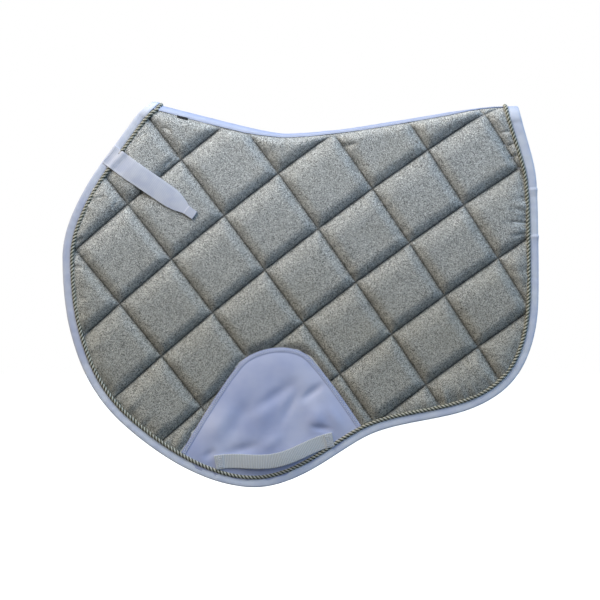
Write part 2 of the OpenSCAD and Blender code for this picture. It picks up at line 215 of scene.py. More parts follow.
@dataclass
class PadShape:
    """The pad's outline from the side, and its section over the rail.

    The curves repeat the frame's own, in millimetres; everything worked out from them is in metres.
    """

    arch_r: float = 20 * MM
    panel: float = 10 * MM
    spine_rise: float = 1.35 * MM
    spine_thin: float = 5 * MM
    edge_curves: tuple = (
        ((-195, 50), (-212, 42), (-224, 18), (-256, -23)),
        ((-256, -23), (-267.5, -38), (-324, -112), (-324, -176)),
        ((-324, -176), (-324, -339), (-257, -399), (-234, -420)),
        ((-234, -420), (-209, -442.5), (-127, -510.5), (-46.5, -510.5)),
        ((-46.5, -510.5), (25.5, -510.5), (78.5, -453), (126.5, -432.7)),
        ((126.5, -432.7), (216.5, -394.5), (369, -432), (369, -223)),
        ((369, -223), (369, -160), (368, -100), (366, -70)),
        ((366, -70), (364, -30), (345, 12), (341, 44)),
    )
    ridge_curves: tuple = (
        ((-195, 50), (-120, 33), (-30, 6), (0, 6)),
        ((0, 6), (115, 6), (278, 54), (341, 44)),
    )
    # Half width of the spine tape at distances along the ridge, in mm
    tape_at: tuple = (-200, -120, -60, -15, 60, 180, 240, 285, 330, 345)
    tape_half: tuple = (21, 22.5, 22.5, 18.5, 16.0, 16.0, 15.0, 8.5, 5.0, 4.5)
    # The cord and the binding's inner edge stand further in near the rear of the ridge
    rear_shift: float = 5.0 * MM
    rear_reach: float = 170 * MM
    ridge_run: float = 0.060
    front_slope: float = -0.22
    rear_slope: float = 0.05
    above: float = 0.2
    edge: Array = field(init=False)
    crest: Array = field(init=False)

    def __post_init__(self) -> None:
        """Samples the edge, run on upwards past both corners, and the ridge, run on past its ends."""
        edge = chain(self.edge_curves, 40)
        lift = np.array([0, self.above])
        self.edge = np.vstack([edge[:1] + lift, edge, edge[-1:] + lift])
        crest = chain(self.ridge_curves, 40)
        front = crest[0] + self.ridge_run * np.array([-1, -self.front_slope])
        rear = crest[-1] + self.ridge_run * np.array([1, self.rear_slope])
        self.crest = np.vstack([front, crest, rear])

    def ridge(self, x: Array) -> Array:
        """The ridge's height at x."""
        return np.interp(x, self.crest[:, 0], self.crest[:, 1])

    def shift(self, x: Array, s: Array) -> Array:
        """How much wider the binding is at a point of the edge than elsewhere."""
        return self.rear_shift * smooth(1 - s / self.rear_reach) * (x > 0.2)

    def tape(self, x: Array) -> Array:
        """The spine tape's half width at x."""
        return np.interp(x / MM, self.tape_at, self.tape_half) * MM

    def angle(self, s: Array) -> Array:
        """How far round the arch a point is, s down the section from the ridge."""
        return np.clip(s / self.arch_r, 0, math.pi / 2)

    def thickness(self, s: Array) -> Array:
        """The panel's thickness, less near the spine seam."""
        return self.panel - (self.spine_rise + self.spine_thin) * np.cos(self.angle(s)) ** 2

    def normal(self, s: Array) -> Array:
        """Outward normals on the left side."""
        a = self.angle(s)
        return np.stack([np.zeros_like(a), -np.sin(a), np.cos(a)], axis=-1)

    def place(self, x: Array, s: Array, off: Array | float) -> Array:
        """Puts points on the left side.

        Args:
            x: Distance along the pad.
            s: Distance down the section from the ridge.
            off: Distance out from the outer face of the CAD's panel.

        Returns:
            The points, one row each.
        """
        a = self.angle(s)
        r = self.arch_r - self.spine_rise * np.cos(a) ** 2 + off
        drop = np.maximum(0, s - self.arch_r * math.pi / 2)
        return np.stack([x, -r * np.sin(a), self.ridge(x) - self.arch_r + r * np.cos(a) - drop], axis=-1)

    def depth_of(self, x: Array, z: Array) -> Array:
        """How far down the section a side-view height is."""
        rise = z - (self.ridge(x) - self.arch_r)
        return self.arch_r * np.arccos(np.clip(rise / self.arch_r, 0, 1)) + np.maximum(0, -rise)

    def depth_of_flat(self, x: Array, flat: Array) -> Array:
        """How far down the section a height on the flattened cloth is; on a flap that is the real height."""
        return self.ridge(x) - self.arch_r + self.arch_r * math.pi / 2 - flat

    def rim(self, inset: float, step: float) -> tuple[Array, Array]:
        """A line that runs round a flap's edge, from the front of the ridge to its rear.

        Args:
            inset: Distance in from the edge.
            step: Distance between points.

        Returns:
            x and s of each point, evenly spread along the cloth.
        """
        fine = resample(self.edge, 1.5 * MM)[0]
        line = fine + inset * left_of(directions(fine))
        below = line[line[:, 1] < self.ridge(line[:, 0])]
        ends = [np.array([[below[i, 0], self.ridge(below[i, 0])]]) for i in (0, -1)]
        line = np.vstack([ends[0], below, ends[1]])
        s = self.depth_of(line[:, 0], line[:, 1])
        cloth = np.stack([line[:, 0], s - self.ridge(line[:, 0])], axis=1)
        return resample(cloth, step, line[:, 0], s)[1:]


@dataclass
class Quilting:
    """The diamond quilting: two families of gently curved seams on the flattened cloth."""

    falling: tuple = (3.394, 8.039, 5.829, 0.996, -1.184, -0.513)
    rising: tuple = (1.635, 5.815, -7.789, -0.232, -3.121, 1.052)
    falling_range: tuple = (-3, 7)
    rising_range: tuple = (-1, 9)

    @staticmethod
    def value(c: tuple, x: Array, z: Array) -> Array:
        """Counts seams of one family across the cloth: whole numbers are seams."""
        return c[0] + c[1] * x + c[2] * z + c[3] * x * x + c[4] * x * z + c[5] * z * z

    @staticmethod
    def slope(c: tuple, x: Array, z: Array) -> tuple[Array, Array]:
        """How fast the count changes along x and z."""
        return c[1] + 2 * c[3] * x + c[4] * z, c[2] + c[4] * x + 2 * c[5] * z

    def distance(self, c: tuple, x: Array, z: Array) -> Array:
        """Distance to the nearest seam of one family, in metres."""
        value = self.value(c, x, z)
        gx, gz = self.slope(c, x, z)
        return np.abs(value - np.round(value)) / np.hypot(gx, gz)

    def solve(self, u: Array, v: Array) -> tuple[Array, Array]:
        """Finds the cloth point where both counts have the given values.

        Args:
            u: Count of falling seams.
            v: Count of rising seams.

        Returns:
            x and z on the flattened cloth.
        """
        x = np.clip(0.079 * u + 0.059 * v - 0.36, -0.6, 0.6)
        z = np.clip(0.057 * u - 0.08 * v - 0.07, -0.8, 0.3)
        for _ in range(12):
            fu = self.value(self.falling, x, z) - u
            fv = self.value(self.rising, x, z) - v
            ux, uz = self.slope(self.falling, x, z)
            vx, vz = self.slope(self.rising, x, z)
            det = ux * vz - uz * vx
            x = np.clip(x - (fu * vz - fv * uz) / det, -0.7, 0.7)
            z = np.clip(z - (fv * ux - fu * vx) / det, -0.9, 0.4)
        return x, z


# ------------------------------------------------------------------------------------------ mesh making


@dataclass
class Surface:
    """A mesh being made: points, faces and a cloth coordinate for each point."""

    points: Array
    faces: Array
    cloth: Array
    tint: Array | None = None

    def joined(self, other: "Surface") -> "Surface":
        """Both surfaces as one."""
        tint = None
        if self.tint is not None and other.tint is not None:
            tint = np.concatenate([self.tint, other.tint])
        return Surface(
            np.vstack([self.points, other.points]),
            np.vstack([self.faces, other.faces + len(self.points)]),
            np.vstack([self.cloth, other.cloth]),
            tint,
        )


def joined(parts: Iterable[Surface]) -> Surface:
    """Several surfaces as one, in their order."""
    return reduce(Surface.joined, parts)


def grid_faces(rows: int, columns: int, wrap: bool = False) -> Array:
    """Quads of a grid of points.

    Args:
        rows: Number of rows.
        columns: Points in a row.
        wrap: Whether the last column joins the first.

    Returns:
        Four indices for each face.
    """
    i, j = np.meshgrid(np.arange(rows - 1), np.arange(columns if wrap else columns - 1), indexing="ij")
    k = (j + 1) % columns
    quads = [i * columns + j, i * columns + k, (i + 1) * columns + k, (i + 1) * columns + j]
    return np.stack(quads, axis=-1).reshape(-1, 4)


def turned(points: Array, faces: Array, out: Array | Sequence[float]) -> Array:
    """Turns all the faces over if they look away from the wanted direction.

    Args:
        points: The surface's points.
        faces: Its faces.
        out: The way they should look: one direction, or one for each face.

    Returns:
        The faces, turned over or as they were.
    """
    a, b, c = (points[faces[:, k]] for k in (0, 1, 2))
    return faces if (np.cross(b - a, c - a) * out).sum() > 0 else faces[:, ::-1]


def outline_edges(faces: Array) -> Array:
    """The edges that only one face uses, in that face's direction."""
    edges = np.vstack([faces[:, [k, (k + 1) % 4]] for k in range(4)])
    key = np.sort(edges, axis=1)
    _, first, count = np.unique(key, axis=0, return_index=True, return_counts=True)
    return edges[first[count == 1]]


def thick(front: Surface, back: Array) -> Surface:
    """Closes an open surface with a second layer behind it.

    Args:
        front: The visible layer, with its faces pointing out.
        back: The second layer's points, one for each of the first's.

    Returns:
        A closed surface.
    """
    n = len(front.points)
    rim = outline_edges(front.faces)
    walls = np.stack([rim[:, 1], rim[:, 0], rim[:, 0] + n, rim[:, 1] + n], axis=1)
    faces = np.vstack([front.faces, front.faces[:, ::-1] + n, walls])
    tint = None if front.tint is None else np.tile(front.tint, 2)
    return Surface(np.vstack([front.points, back]), faces, np.tile(front.cloth, (2, 1)), tint)


def sweep(path: Array, normals: Array, profile: Array | Callable[[float], Array]) -> Surface:
    """Draws a closed profile along a path, with its two ends capped.

    Args:
        path: The path's points.
        normals: The outward normal at each point.
        profile: Points as [inward, outward], or a function of the distance along that gives them.

    Returns:
        A closed surface whose cloth coordinates are distance along and distance round.
    """
    run = directions(path)
    inward = unit(np.cross(normals, run))
    out = np.cross(run, inward)
    along = lengths(path)
    shapes = [profile(a) if callable(profile) else profile for a in along]
    rings = np.stack([
        p + shape[:, :1] * i + shape[:, 1:2] * o for p, shape, i, o in zip(path, shapes, inward, out)
    ])
    count = rings.shape[1]
    loop = np.vstack([shapes[0], shapes[0][:1]])
    across = lengths(loop)[:count]
    cloth = np.stack(np.meshgrid(along, across, indexing="ij"), axis=-1).reshape(-1, 2)
    faces = grid_faces(len(path), count, wrap=True)
    ends = []
    for k in range(1, count // 2):
        ends.append([k - 1, k, count - 1 - k, count - k])
    ends = np.array(ends)
    ends = ends[[len(set(e % count)) == 4 for e in ends]]
    last = (len(path) - 1) * count
    faces = np.vstack([faces, ends[:, ::-1] % count, ends % count + last])
    return Surface(rings.reshape(-1, 3), faces, cloth)


class ThreadStitch:
    """One stitch, modelled once along X with a radius of 1, for every row to copy."""

    def __init__(self) -> None:
        """Models a short round bar whose two ends are narrower and sunk into the cloth."""
        bpy.ops.object.select_all(action="DESELECT")
        bpy.ops.mesh.primitive_cylinder_add(
            vertices=6, radius=1, depth=1, end_fill_type="TRIFAN", rotation=(0, math.pi / 2, 0)
        )
        made = bpy.context.object
        bpy.ops.object.transform_apply(rotation=True)
        bpy.ops.object.mode_set(mode="EDIT")
        for cut in (-0.28, 0.0, 0.28):
            bpy.ops.mesh.select_all(action="SELECT")
            bpy.ops.mesh.bisect(plane_co=(cut, 0, 0), plane_no=(1, 0, 0))
        for near, far, size, rise in ((0.45, 0.55, 0.55, -0.9), (0.2, 0.35, 1.0, 0.55), (-0.1, 0.1, 1.0, 0.35)):
            self._pick(made, near, far)
            bpy.ops.transform.resize(value=(1, size, size))
            bpy.ops.transform.translate(value=(0, 0, rise))
        bpy.ops.object.mode_set(mode="OBJECT")
        mesh = made.data
        self.points = np.array([v.co[:] for v in mesh.vertices])
        # A triangle repeats its last corner, so that every face has four
        self.faces = np.array([[*f.vertices, f.vertices[-1]][:4] for f in mesh.polygons])
        bpy.data.objects.remove(made)
        bpy.data.meshes.remove(mesh)

    @staticmethod
    def _pick(piece: bpy.types.Object, near: float, far: float) -> None:
        """Selects the bar's points between two distances either side of its middle."""
        bpy.ops.object.mode_set(mode="OBJECT")
        for part in (piece.data.polygons, piece.data.edges):
            part.foreach_set("select", [False] * len(part))
        for vertex in piece.data.vertices:
            vertex.select = near <= abs(vertex.co.x) <= far
        bpy.ops.object.mode_set(mode="EDIT")

    def row(self, path: Array, normals: Array, stitch: float, space: float, radius: float) -> Surface:
        """Copies the stitch along a line.

        Args:
            path: The line.
            normals: The outward normal at each point.
            stitch: Length of a stitch.
            space: Gap between stitches.
            radius: Half the thread's thickness.

        Returns:
            All the stitches as one surface.
        """
        along = lengths(path)
        starts = np.arange(space, along[-1] - stitch, stitch + space)
        where = starts[:, None] + (self.points[:, 0] + 0.5) * stitch
        place, out, first, last = (
            np.stack([np.interp(at, along, of[:, k]) for k in range(3)], axis=-1)
            for at, of in ((where, path), (where, normals), (starts, path), (starts + stitch, path))
        )
        out = unit(out)
        side = np.cross(out, unit(last - first)[:, None, :])
        y, z = radius * self.points[:, 1, None], radius * self.points[:, 2, None]
        points = (place + y * side + z * out).reshape(-1, 3)
        step = np.arange(len(starts)) * len(self.points)
        faces = (self.faces[None] + step[:, None, None]).reshape(-1, 4)
        return Surface(points, faces, np.zeros((len(points), 2)))


def to_object(name: str, surface: Surface, side: Side = Side.LEFT) -> bpy.types.Object:
    """Makes a Blender object from a surface.

    Args:
        name: The object's name.
        surface: The surface, as it is on the left side.
        side: Which side it is for; the right one is mirrored.

    Returns:
        The object, smooth shaded, with a UV map in metres called cloth.
    """
    points, faces = surface.points.copy(), surface.faces
    if side is Side.RIGHT:
        points[:, 1] *= -1
        faces = faces[:, [0, 3, 2, 1]]
    polygons = [list(dict.fromkeys(f)) for f in faces.tolist()]
    mesh = bpy.data.meshes.new(name)
    mesh.from_pydata(points.tolist(), [], polygons)
    layer = mesh.uv_layers.new(name="cloth")
    index = np.empty(len(mesh.loops), int)
    mesh.loops.foreach_get("vertex_index", index)
    layer.data.foreach_set("uv", surface.cloth[index].astype(np.float32).ravel())
    if surface.tint is not None:
        tint = mesh.attributes.new("tint", "FLOAT", "POINT")
        tint.data.foreach_set("value", surface.tint.astype(np.float32))
    mesh.polygons.foreach_set("use_smooth", np.ones(len(mesh.polygons), bool))
    mesh.update()
    made = bpy.data.objects.new(name, mesh)
    bpy.context.scene.collection.objects.link(made)
    return made


# -------------------------------------------------------------------------------------------- materials


class Sock:
    """A shader socket that can be used in Python expressions."""

    def __init__(self, maker: "Finish", socket: bpy.types.NodeSocket) -> None:
        """Wraps one output socket."""
        self.maker = maker
        self.socket = socket

    def _math(self, operation: str, *values: "Sock | float") -> "Sock":
        """Adds one Math node."""
        return self.maker.node("ShaderNodeMath", {"operation": operation}, dict(enumerate(values)))

    def __add__(self, other: "Sock | float") -> "Sock":
        """self + other."""
        return self._math("ADD", self, other)

    __radd__ = __add__

    def __sub__(self, other: "Sock | float") -> "Sock":
        """self - other."""
        return self._math("SUBTRACT", self, other)

    def __rsub__(self, other: float) -> "Sock":
        """other - self."""
        return self._math("SUBTRACT", other, self)

    def __mul__(self, other: "Sock | float") -> "Sock":
        """self * other."""
        return self._math("MULTIPLY", self, other)

    __rmul__ = __mul__

    def sin(self) -> "Sock":
        """The sine of the value."""
        return self._math("SINE", self)

    def wave(self, pitch: float) -> "Sock":
        """A wave from -1 to 1 along the value, one in every pitch."""
        return (self * (2 * math.pi / pitch)).sin()

    def ribs(self, pitch: float) -> "Sock":
        """The same wave, from 0 to 1."""
        return self.wave(pitch) * 0.5 + 0.5

    def abs(self) -> "Sock":
        """The value without its sign."""
        return self._math("ABSOLUTE", self)

    def over(self, low: float, high: float) -> "Sock":
        """0 below low, 1 above high, smooth between."""
        return self.maker.node(
            "ShaderNodeMapRange",
            {"interpolation_type": "SMOOTHSTEP"},
            {"Value": self, "From Min": low, "From Max": high},
        )


Colour = tuple[float, float, float]


def colour(red: int, green: int, blue: int) -> Colour:
    """A display colour, 0 to 255 a channel, as the shader's linear values."""
    return tuple(
        c / 12.92 if c <= 0.04045 else ((c + 0.055) / 1.055) ** 2.4 for c in (red / 255, green / 255, blue / 255)
    )


@dataclass
class Finish:
    """A material being made, with one method for every node."""

    name: str
    roughness: float = 0.8
    sheen: float = 0.0
    specular: float = 0.3
    material: bpy.types.Material = field(init=False)
    tree: bpy.types.NodeTree = field(init=False)

    def __post_init__(self) -> None:
        """Starts the material with its shader."""
        self.material = bpy.data.materials.new(self.name)
        self.material.use_nodes = True
        self.tree = self.material.node_tree
        self.shader = self.tree.nodes["Principled BSDF"]
        self.shader.inputs["Roughness"].default_value = self.roughness
        self.shader.inputs["Sheen Weight"].default_value = self.sheen
        self.shader.inputs["Sheen Roughness"].default_value = 0.5
        self.shader.inputs["Specular IOR Level"].default_value = self.specular

    def node(self, kind: str, settings: dict | None = None, inputs: dict | None = None, out: int | str = 0) -> Sock:
        """Adds a node.

        Args:
            kind: The node's type.
            settings: Its own properties, set first; "stops" fills a colour ramp.
            inputs: Values or links for its sockets, by name or number.
            out: Which output to hand back.

        Returns:
            That output.
        """
        made = self.tree.nodes.new(kind)
        for key, value in (settings or {}).items():
            if key == "stops":
                while len(made.color_ramp.elements) < len(value):
                    made.color_ramp.elements.new(0.5)
                for element, (position, shade) in zip(made.color_ramp.elements, value):
                    element.position = position
                    element.color = (*shade, 1)
            else:
                setattr(made, key, value)
        for key, value in (inputs or {}).items():
            self.put(made.inputs[key], value)
        return Sock(self, made.outputs[out])

    def put(self, socket: bpy.types.NodeSocket, value: "Sock | float | Sequence[float]") -> None:
        """Links a socket, or sets its value."""
        if isinstance(value, Sock):
            self.tree.links.new(value.socket, socket)
        elif isinstance(value, (int, float)):
            socket.default_value = value
        else:
            wanted = len(socket.default_value)
            socket.default_value = tuple(value) + (1,) * (wanted - len(value))

    def cloth(self, scale_u: float = 1.0, scale_v: float = 1.0) -> Sock:
        """The piece's own cloth coordinates, scaled."""
        uv = self.node("ShaderNodeUVMap", {"uv_map": "cloth"})
        return self.node("ShaderNodeMapping", {}, {"Vector": uv, "Scale": (scale_u, scale_v, 1)})

    def place(self) -> Sock:
        """Object coordinates."""
        return self.node("ShaderNodeTexCoord", {}, {}, "Object")

    def axis(self, name: str) -> Sock:
        """One of the object coordinates: X, Y or Z."""
        return self.node("ShaderNodeSeparateXYZ", {}, {0: self.place()}, name)

    def tint(self) -> Sock:
        """The piece's own tint, 0 to 1, made with its mesh."""
        return self.node("ShaderNodeAttribute", {"attribute_name": "tint"}, {}, "Fac")

    def split(self, vector: Sock) -> tuple[Sock, Sock]:
        """The first two parts of a vector."""
        made = self.node("ShaderNodeSeparateXYZ", {}, {0: vector})
        return made, Sock(self, made.socket.node.outputs[1])

    def noise(self, vector: Sock, scale: float, detail: float = 2.0, rough: float = 0.5) -> Sock:
        """Soft noise from 0 to 1."""
        return self.node(
            "ShaderNodeTexNoise", {}, {"Vector": vector, "Scale": scale, "Detail": detail, "Roughness": rough}
        )

    def cells(self, vector: Sock, scale: float) -> Sock:
        """Random cells, each with a value of its own from 0 to 1."""
        shades = self.node("ShaderNodeTexVoronoi", {}, {"Vector": vector, "Scale": scale}, "Color")
        return self.node("ShaderNodeSeparateColor", {}, {0: shades})

    def mix(self, amount: "Sock | float", a: "Sock | Colour", b: "Sock | Colour", how: str = "MIX") -> Sock:
        """Mixes two colours."""
        made = self.tree.nodes.new("ShaderNodeMix")
        made.data_type = "RGBA"
        made.blend_type = how
        self.put(made.inputs[0], amount)
        self.put(made.inputs[6], a)
        self.put(made.inputs[7], b)
        return Sock(self, made.outputs[2])

    def ramp(self, value: Sock, *stops: tuple[float, Colour]) -> Sock:
        """A colour ramp."""
        return self.node("ShaderNodeValToRGB", {"stops": stops}, {"Fac": value})

    def bump(self, height: Sock, distance: float, strength: float = 1.0, below: Sock | None = None) -> Sock:
        """Turns a height into a normal."""
        inputs = {"Height": height, "Distance": distance, "Strength": strength}
        if below is not None:
            inputs["Normal"] = below
        return self.node("ShaderNodeBump", {}, inputs)

    def finish(self, base: "Sock | Colour", normal: Sock | None = None, **more: "Sock | float") -> bpy.types.Material:
        """Connects the shader.

        Args:
            base: The colour.
            normal: The bumped normal.
            more: Other varying inputs, with underscores for spaces.

        Returns:
            The finished material.
        """
        self.put(self.shader.inputs["Base Color"], base)
        if normal is not None:
            self.put(self.shader.inputs["Normal"], normal)
        for key, value in more.items():
            self.put(self.shader.inputs[key.replace("_", " ")], value)
        return self.material


class Wardrobe:
    """Every finish on the pad, each made once."""

    # How much of each colour the glitter keeps towards the lower edge: painted shade, darker towards the bottom where
    # the light from above falls off
    dulled: Colour = (0.77, 0.74, 0.68)
    # How much of each colour the cotton keeps where painted shade darkens it: along the ridge's crown, and up the
    # front edge
    ridge_soil: Colour = (0.60, 0.67, 0.82)
    front_soil: Colour = (0.80, 0.80, 0.84)

    def __init__(self) -> None:
        """Makes all the finishes."""
        self.glitter = self._glitter()
        self.lining = self._lining()
        self.binding = self._cotton("binding_tape", colour(238, 242, 255), colour(220, 226, 248))
        self.tape = self._cotton("spine_tape_cloth", colour(205, 212, 236), colour(192, 201, 228))
        self.patch = self._patch()
        self.webbing = self._webbing()
        self.strap = self._strap()
        self.cord = self._cord()
        self.thread = self._thread("white_thread", colour(240, 241, 246), colour(212, 215, 226))
        self.grey_thread = self._thread("grey_thread", colour(92, 94, 92), colour(60, 62, 60))
        self.wadding = self._wadding()
        self.hook = self._hook()
        self.pile = self._pile()
        self.label = self._label()

    @staticmethod
    def _weave(f: Finish, pitch: float) -> Sock:
        """Plain weave: threads over and under each other, as a height from 0 to 1."""
        u, v = f.split(f.cloth())
        over = u.wave(2 * pitch) * v.wave(2 * pitch)
        return (u.wave(pitch) * (0.5 + 0.5 * over) + v.wave(pitch) * (0.5 - 0.5 * over)) * 0.5 + 0.5

    def _glitter(self) -> bpy.types.Material:
        """Silver-grey cloth with fine glitter flakes."""
        f = Finish("glitter_cloth", roughness=0.55, specular=0.38)
        where = f.cloth()
        crease = f.tint()
        fine, coarse = f.cells(where, 2300), f.cells(where, 1350)
        flake = fine * 0.52 + coarse * 0.48
        drift = f.noise(where, 26, 3)
        warm = f.noise(where, 9, 2)
        base = f.ramp(
            flake,
            (0.20, colour(34, 34, 33)),
            (0.41, colour(149, 149, 147)),
            (0.59, colour(214, 214, 211)),
            (0.76, colour(255, 255, 252)),
        )
        base = f.mix(drift.over(0.35, 0.7) * 0.12, base, colour(140, 141, 140))
        base = f.mix(warm.over(0.45, 0.75) * 0.14, base, colour(190, 184, 166))
        # Painted shade: the glitter darkens along the seams, where the cloth folds into them
        base = f.mix(crease * 0.56, base, colour(30, 31, 30))
        # Painted shade: the glitter darkens towards the bottom, where the light from above falls off
        base = f.mix(1 - f.axis("Z").over(-0.33, 0.0), base, self.dulled, "MULTIPLY")
        crinkle = f.noise(where, 150, 3, 0.55)
        tilt = f.bump(flake, 0.2 * MM, 0.5, f.bump(crinkle, 1.0 * MM, 0.22))
        return f.finish(
            base,
            tilt,
            Roughness=0.66 - flake * 0.2,
            Metallic=coarse.over(0.6, 0.9) * 0.15,
        )

    def _cotton(self, name: str, light: Colour, shade: Colour) -> bpy.types.Material:
        """Cool white woven tape with faint creases."""
        f = Finish(name, roughness=0.85, sheen=0.15, specular=0.25)
        weave = self._weave(f, 0.55 * MM)
        where = f.cloth()
        cloud = f.noise(where, 45, 3)
        base = f.mix(cloud.over(0.3, 0.75), light, shade)
        base = f.mix(weave * 0.10, base, colour(150, 154, 172))
        height = f.axis("Z")
        # Painted shade: the crown of the ridge is darkened and cooled
        crown_shade = (1 - f.axis("Y").abs().over(5 * MM, 17 * MM)) * height.over(-0.03, -0.01)
        base = f.mix(crown_shade, base, self.ridge_soil, "MULTIPLY")
        # Painted shade: the cotton is darker up the front edge, below the top and above the lowest part
        front = (1 - f.axis("X").over(-0.30, -0.18)) * (1 - height.over(-0.12, -0.02)) * height.over(-0.4, -0.3)
        base = f.mix(front, base, self.front_soil, "MULTIPLY")
        creases = f.noise(f.cloth(120, 420), 1.0, 3, 0.6)
        normal = f.bump(creases, 0.5 * MM, 0.35)
        return f.finish(base, f.bump(weave, 0.12 * MM, 0.5, normal), Roughness=0.8 + weave * 0.12)

    def _patch(self) -> bpy.types.Material:
        """Smooth coated cloth, cool white."""
        f = Finish("patch_cloth", roughness=0.5, sheen=0.1, specular=0.4)
        weave = self._weave(f, 0.4 * MM)
        where = f.cloth()
        cloud = f.noise(where, 14, 3)
        hem = f.tint()
        base = f.mix(cloud.over(0.3, 0.7), colour(207, 211, 238), colour(180, 188, 225))
        base = f.mix(hem * 0.42, base, colour(118, 134, 196))
        small = f.noise(where, 90, 4, 0.55)
        normal = f.bump(small, 0.6 * MM, 0.35)
        return f.finish(base, f.bump(weave, 0.06 * MM, 0.4, normal), Roughness=0.46 + small * 0.16)

    def _webbing(self) -> bpy.types.Material:
        """Ribbed webbing, grey white."""
        f = Finish("loop_webbing_cloth", roughness=0.75, specular=0.3)
        u, v = f.split(f.cloth())
        rib = u.ribs(2.4 * MM)
        thread = (v * (2 * math.pi / (0.9 * MM)) + rib * 2.0).sin() * 0.5 + 0.5
        cloud = f.noise(f.cloth(), 60, 3)
        base = f.mix(rib, colour(190, 191, 196), colour(218, 220, 222))
        base = f.mix(thread * 0.18, base, colour(160, 166, 176))
        base = f.mix(cloud.over(0.4, 0.8) * 0.3, base, colour(196, 200, 196))
        return f.finish(base, f.bump(rib * 0.7 + thread * 0.3, 0.3 * MM, 0.6), Roughness=0.86 - rib * 0.16)

    def _strap(self) -> bpy.types.Material:
        """Fine woven strap with selvedges."""
        f = Finish("billet_strap_cloth", roughness=0.7, sheen=0.1, specular=0.35)
        u, v = f.split(f.cloth())
        rib, cross = u.ribs(1.0 * MM), v.ribs(0.7 * MM)
        edge = v.abs().over(11.5 * MM, 13.5 * MM)
        cloud = f.noise(f.cloth(), 50, 3)
        base = f.mix(cloud.over(0.35, 0.7), colour(224, 226, 238), colour(208, 212, 230))
        base = f.mix(edge * 0.5, base, colour(236, 238, 248))
        base = f.mix(rib * cross * 0.16, base, colour(168, 172, 192))
        base = f.mix(u.ribs(2.6 * MM) * 0.16, base, colour(150, 155, 182))
        return f.finish(base, f.bump(rib * 0.5 + cross * 0.5, 0.16 * MM, 0.5), Roughness=0.66 + rib * 0.15)

    def _cord(self) -> bpy.types.Material:
        """Twisted strands, khaki and pale gold, told apart by their tint."""
        f = Finish("piping_strands", roughness=0.55, specular=0.45)
        tint = f.tint()
        u, v = f.split(f.cloth())
        fibre = (v * (2 * math.pi / (0.75 * MM)) + u * 900).sin() * 0.5 + 0.5
        cloud = f.noise(f.place(), 900, 2)
        pale = f.mix(cloud, colour(234, 232, 218), colour(202, 200, 184))
        dark = f.mix(cloud, colour(90, 89, 70), colour(56, 56, 43))
        base = f.mix(tint.over(0.4, 0.6), dark, pale)
        base = f.mix(fibre * 0.22, base, colour(60, 58, 38))
        return f.finish(base, f.bump(fibre, 0.14 * MM, 0.6), Roughness=0.6 - fibre * 0.18)

    def _lining(self) -> bpy.types.Material:
        """Soft cotton twill on the inner face."""
        f = Finish("lining_twill", roughness=0.92, sheen=0.3, specular=0.15)
        u, v = f.split(f.cloth())
        twill = (u + v).ribs(1.1 * MM)
        cloud = f.noise(f.cloth(), 30, 3)
        base = f.mix(cloud.over(0.3, 0.7), colour(230, 231, 234), colour(214, 216, 222))
        base = f.mix(twill * 0.12, base, colour(176, 178, 188))
        return f.finish(base, f.bump(twill, 0.15 * MM, 0.5), Roughness=0.86 + twill * 0.1)

    def _wadding(self) -> bpy.types.Material:
        """Fluffy polyester wadding."""
        f = Finish("polyester_wadding", roughness=1.0, sheen=0.4, specular=0.1)
        fluff = f.noise(f.place(), 500, 5, 0.7)
        base = f.mix(fluff, colour(236, 236, 232), colour(250, 250, 248))
        return f.finish(base, f.bump(fluff, 1.0 * MM, 0.6), Roughness=0.9 + fluff * 0.1)

    def _thread(self, name: str, light: Colour, dark: Colour) -> bpy.types.Material:
        """Sewing thread."""
        f = Finish(name, roughness=0.5, specular=0.4)
        ply = f.noise(f.place(), 2600, 2)
        return f.finish(f.mix(ply, dark, light), f.bump(ply, 0.1 * MM, 0.5), Roughness=0.42 + ply * 0.25)

    def _hook(self) -> bpy.types.Material:
        """The stiff half of the strap's closure."""
        f = Finish("hook_tape_nylon", roughness=0.45, specular=0.5)
        u, v = f.split(f.cloth())
        pins = u.wave(1.4 * MM) * v.wave(1.4 * MM)
        grain = f.noise(f.place(), 1200, 3)
        base = f.mix(pins.over(-0.2, 0.8), colour(206, 208, 214), colour(240, 240, 244))
        return f.finish(base, f.bump(pins, 0.5 * MM, 0.8), Roughness=0.4 + grain * 0.2)

    def _pile(self) -> bpy.types.Material:
        """The soft half of the strap's closure."""
        f = Finish("pile_tape_nylon", roughness=0.95, sheen=0.5, specular=0.15)
        pile = f.noise(f.place(), 1500, 4, 0.7)
        base = f.mix(pile, colour(208, 210, 220), colour(238, 239, 246))
        return f.finish(base, f.bump(pile, 0.6 * MM, 0.8), Roughness=0.88 + pile * 0.12)

    def _label(self) -> bpy.types.Material:
        """Black woven label."""
        f = Finish("woven_label", roughness=0.6, specular=0.35)
        weave = self._weave(f, 0.35 * MM)
        base = f.mix(weave, colour(16, 16, 18), colour(40, 40, 44))
        return f.finish(base, f.bump(weave, 0.1 * MM, 0.6), Roughness=0.55 + weave * 0.15)


def dress(piece: bpy.types.Object, material: bpy.types.Material, slot: str) -> None:
    """Gives a piece its material."""
    piece.data.materials.clear()
    piece.data.materials.append(material)


# ------------------------------------------------------------------------------------------- the pieces


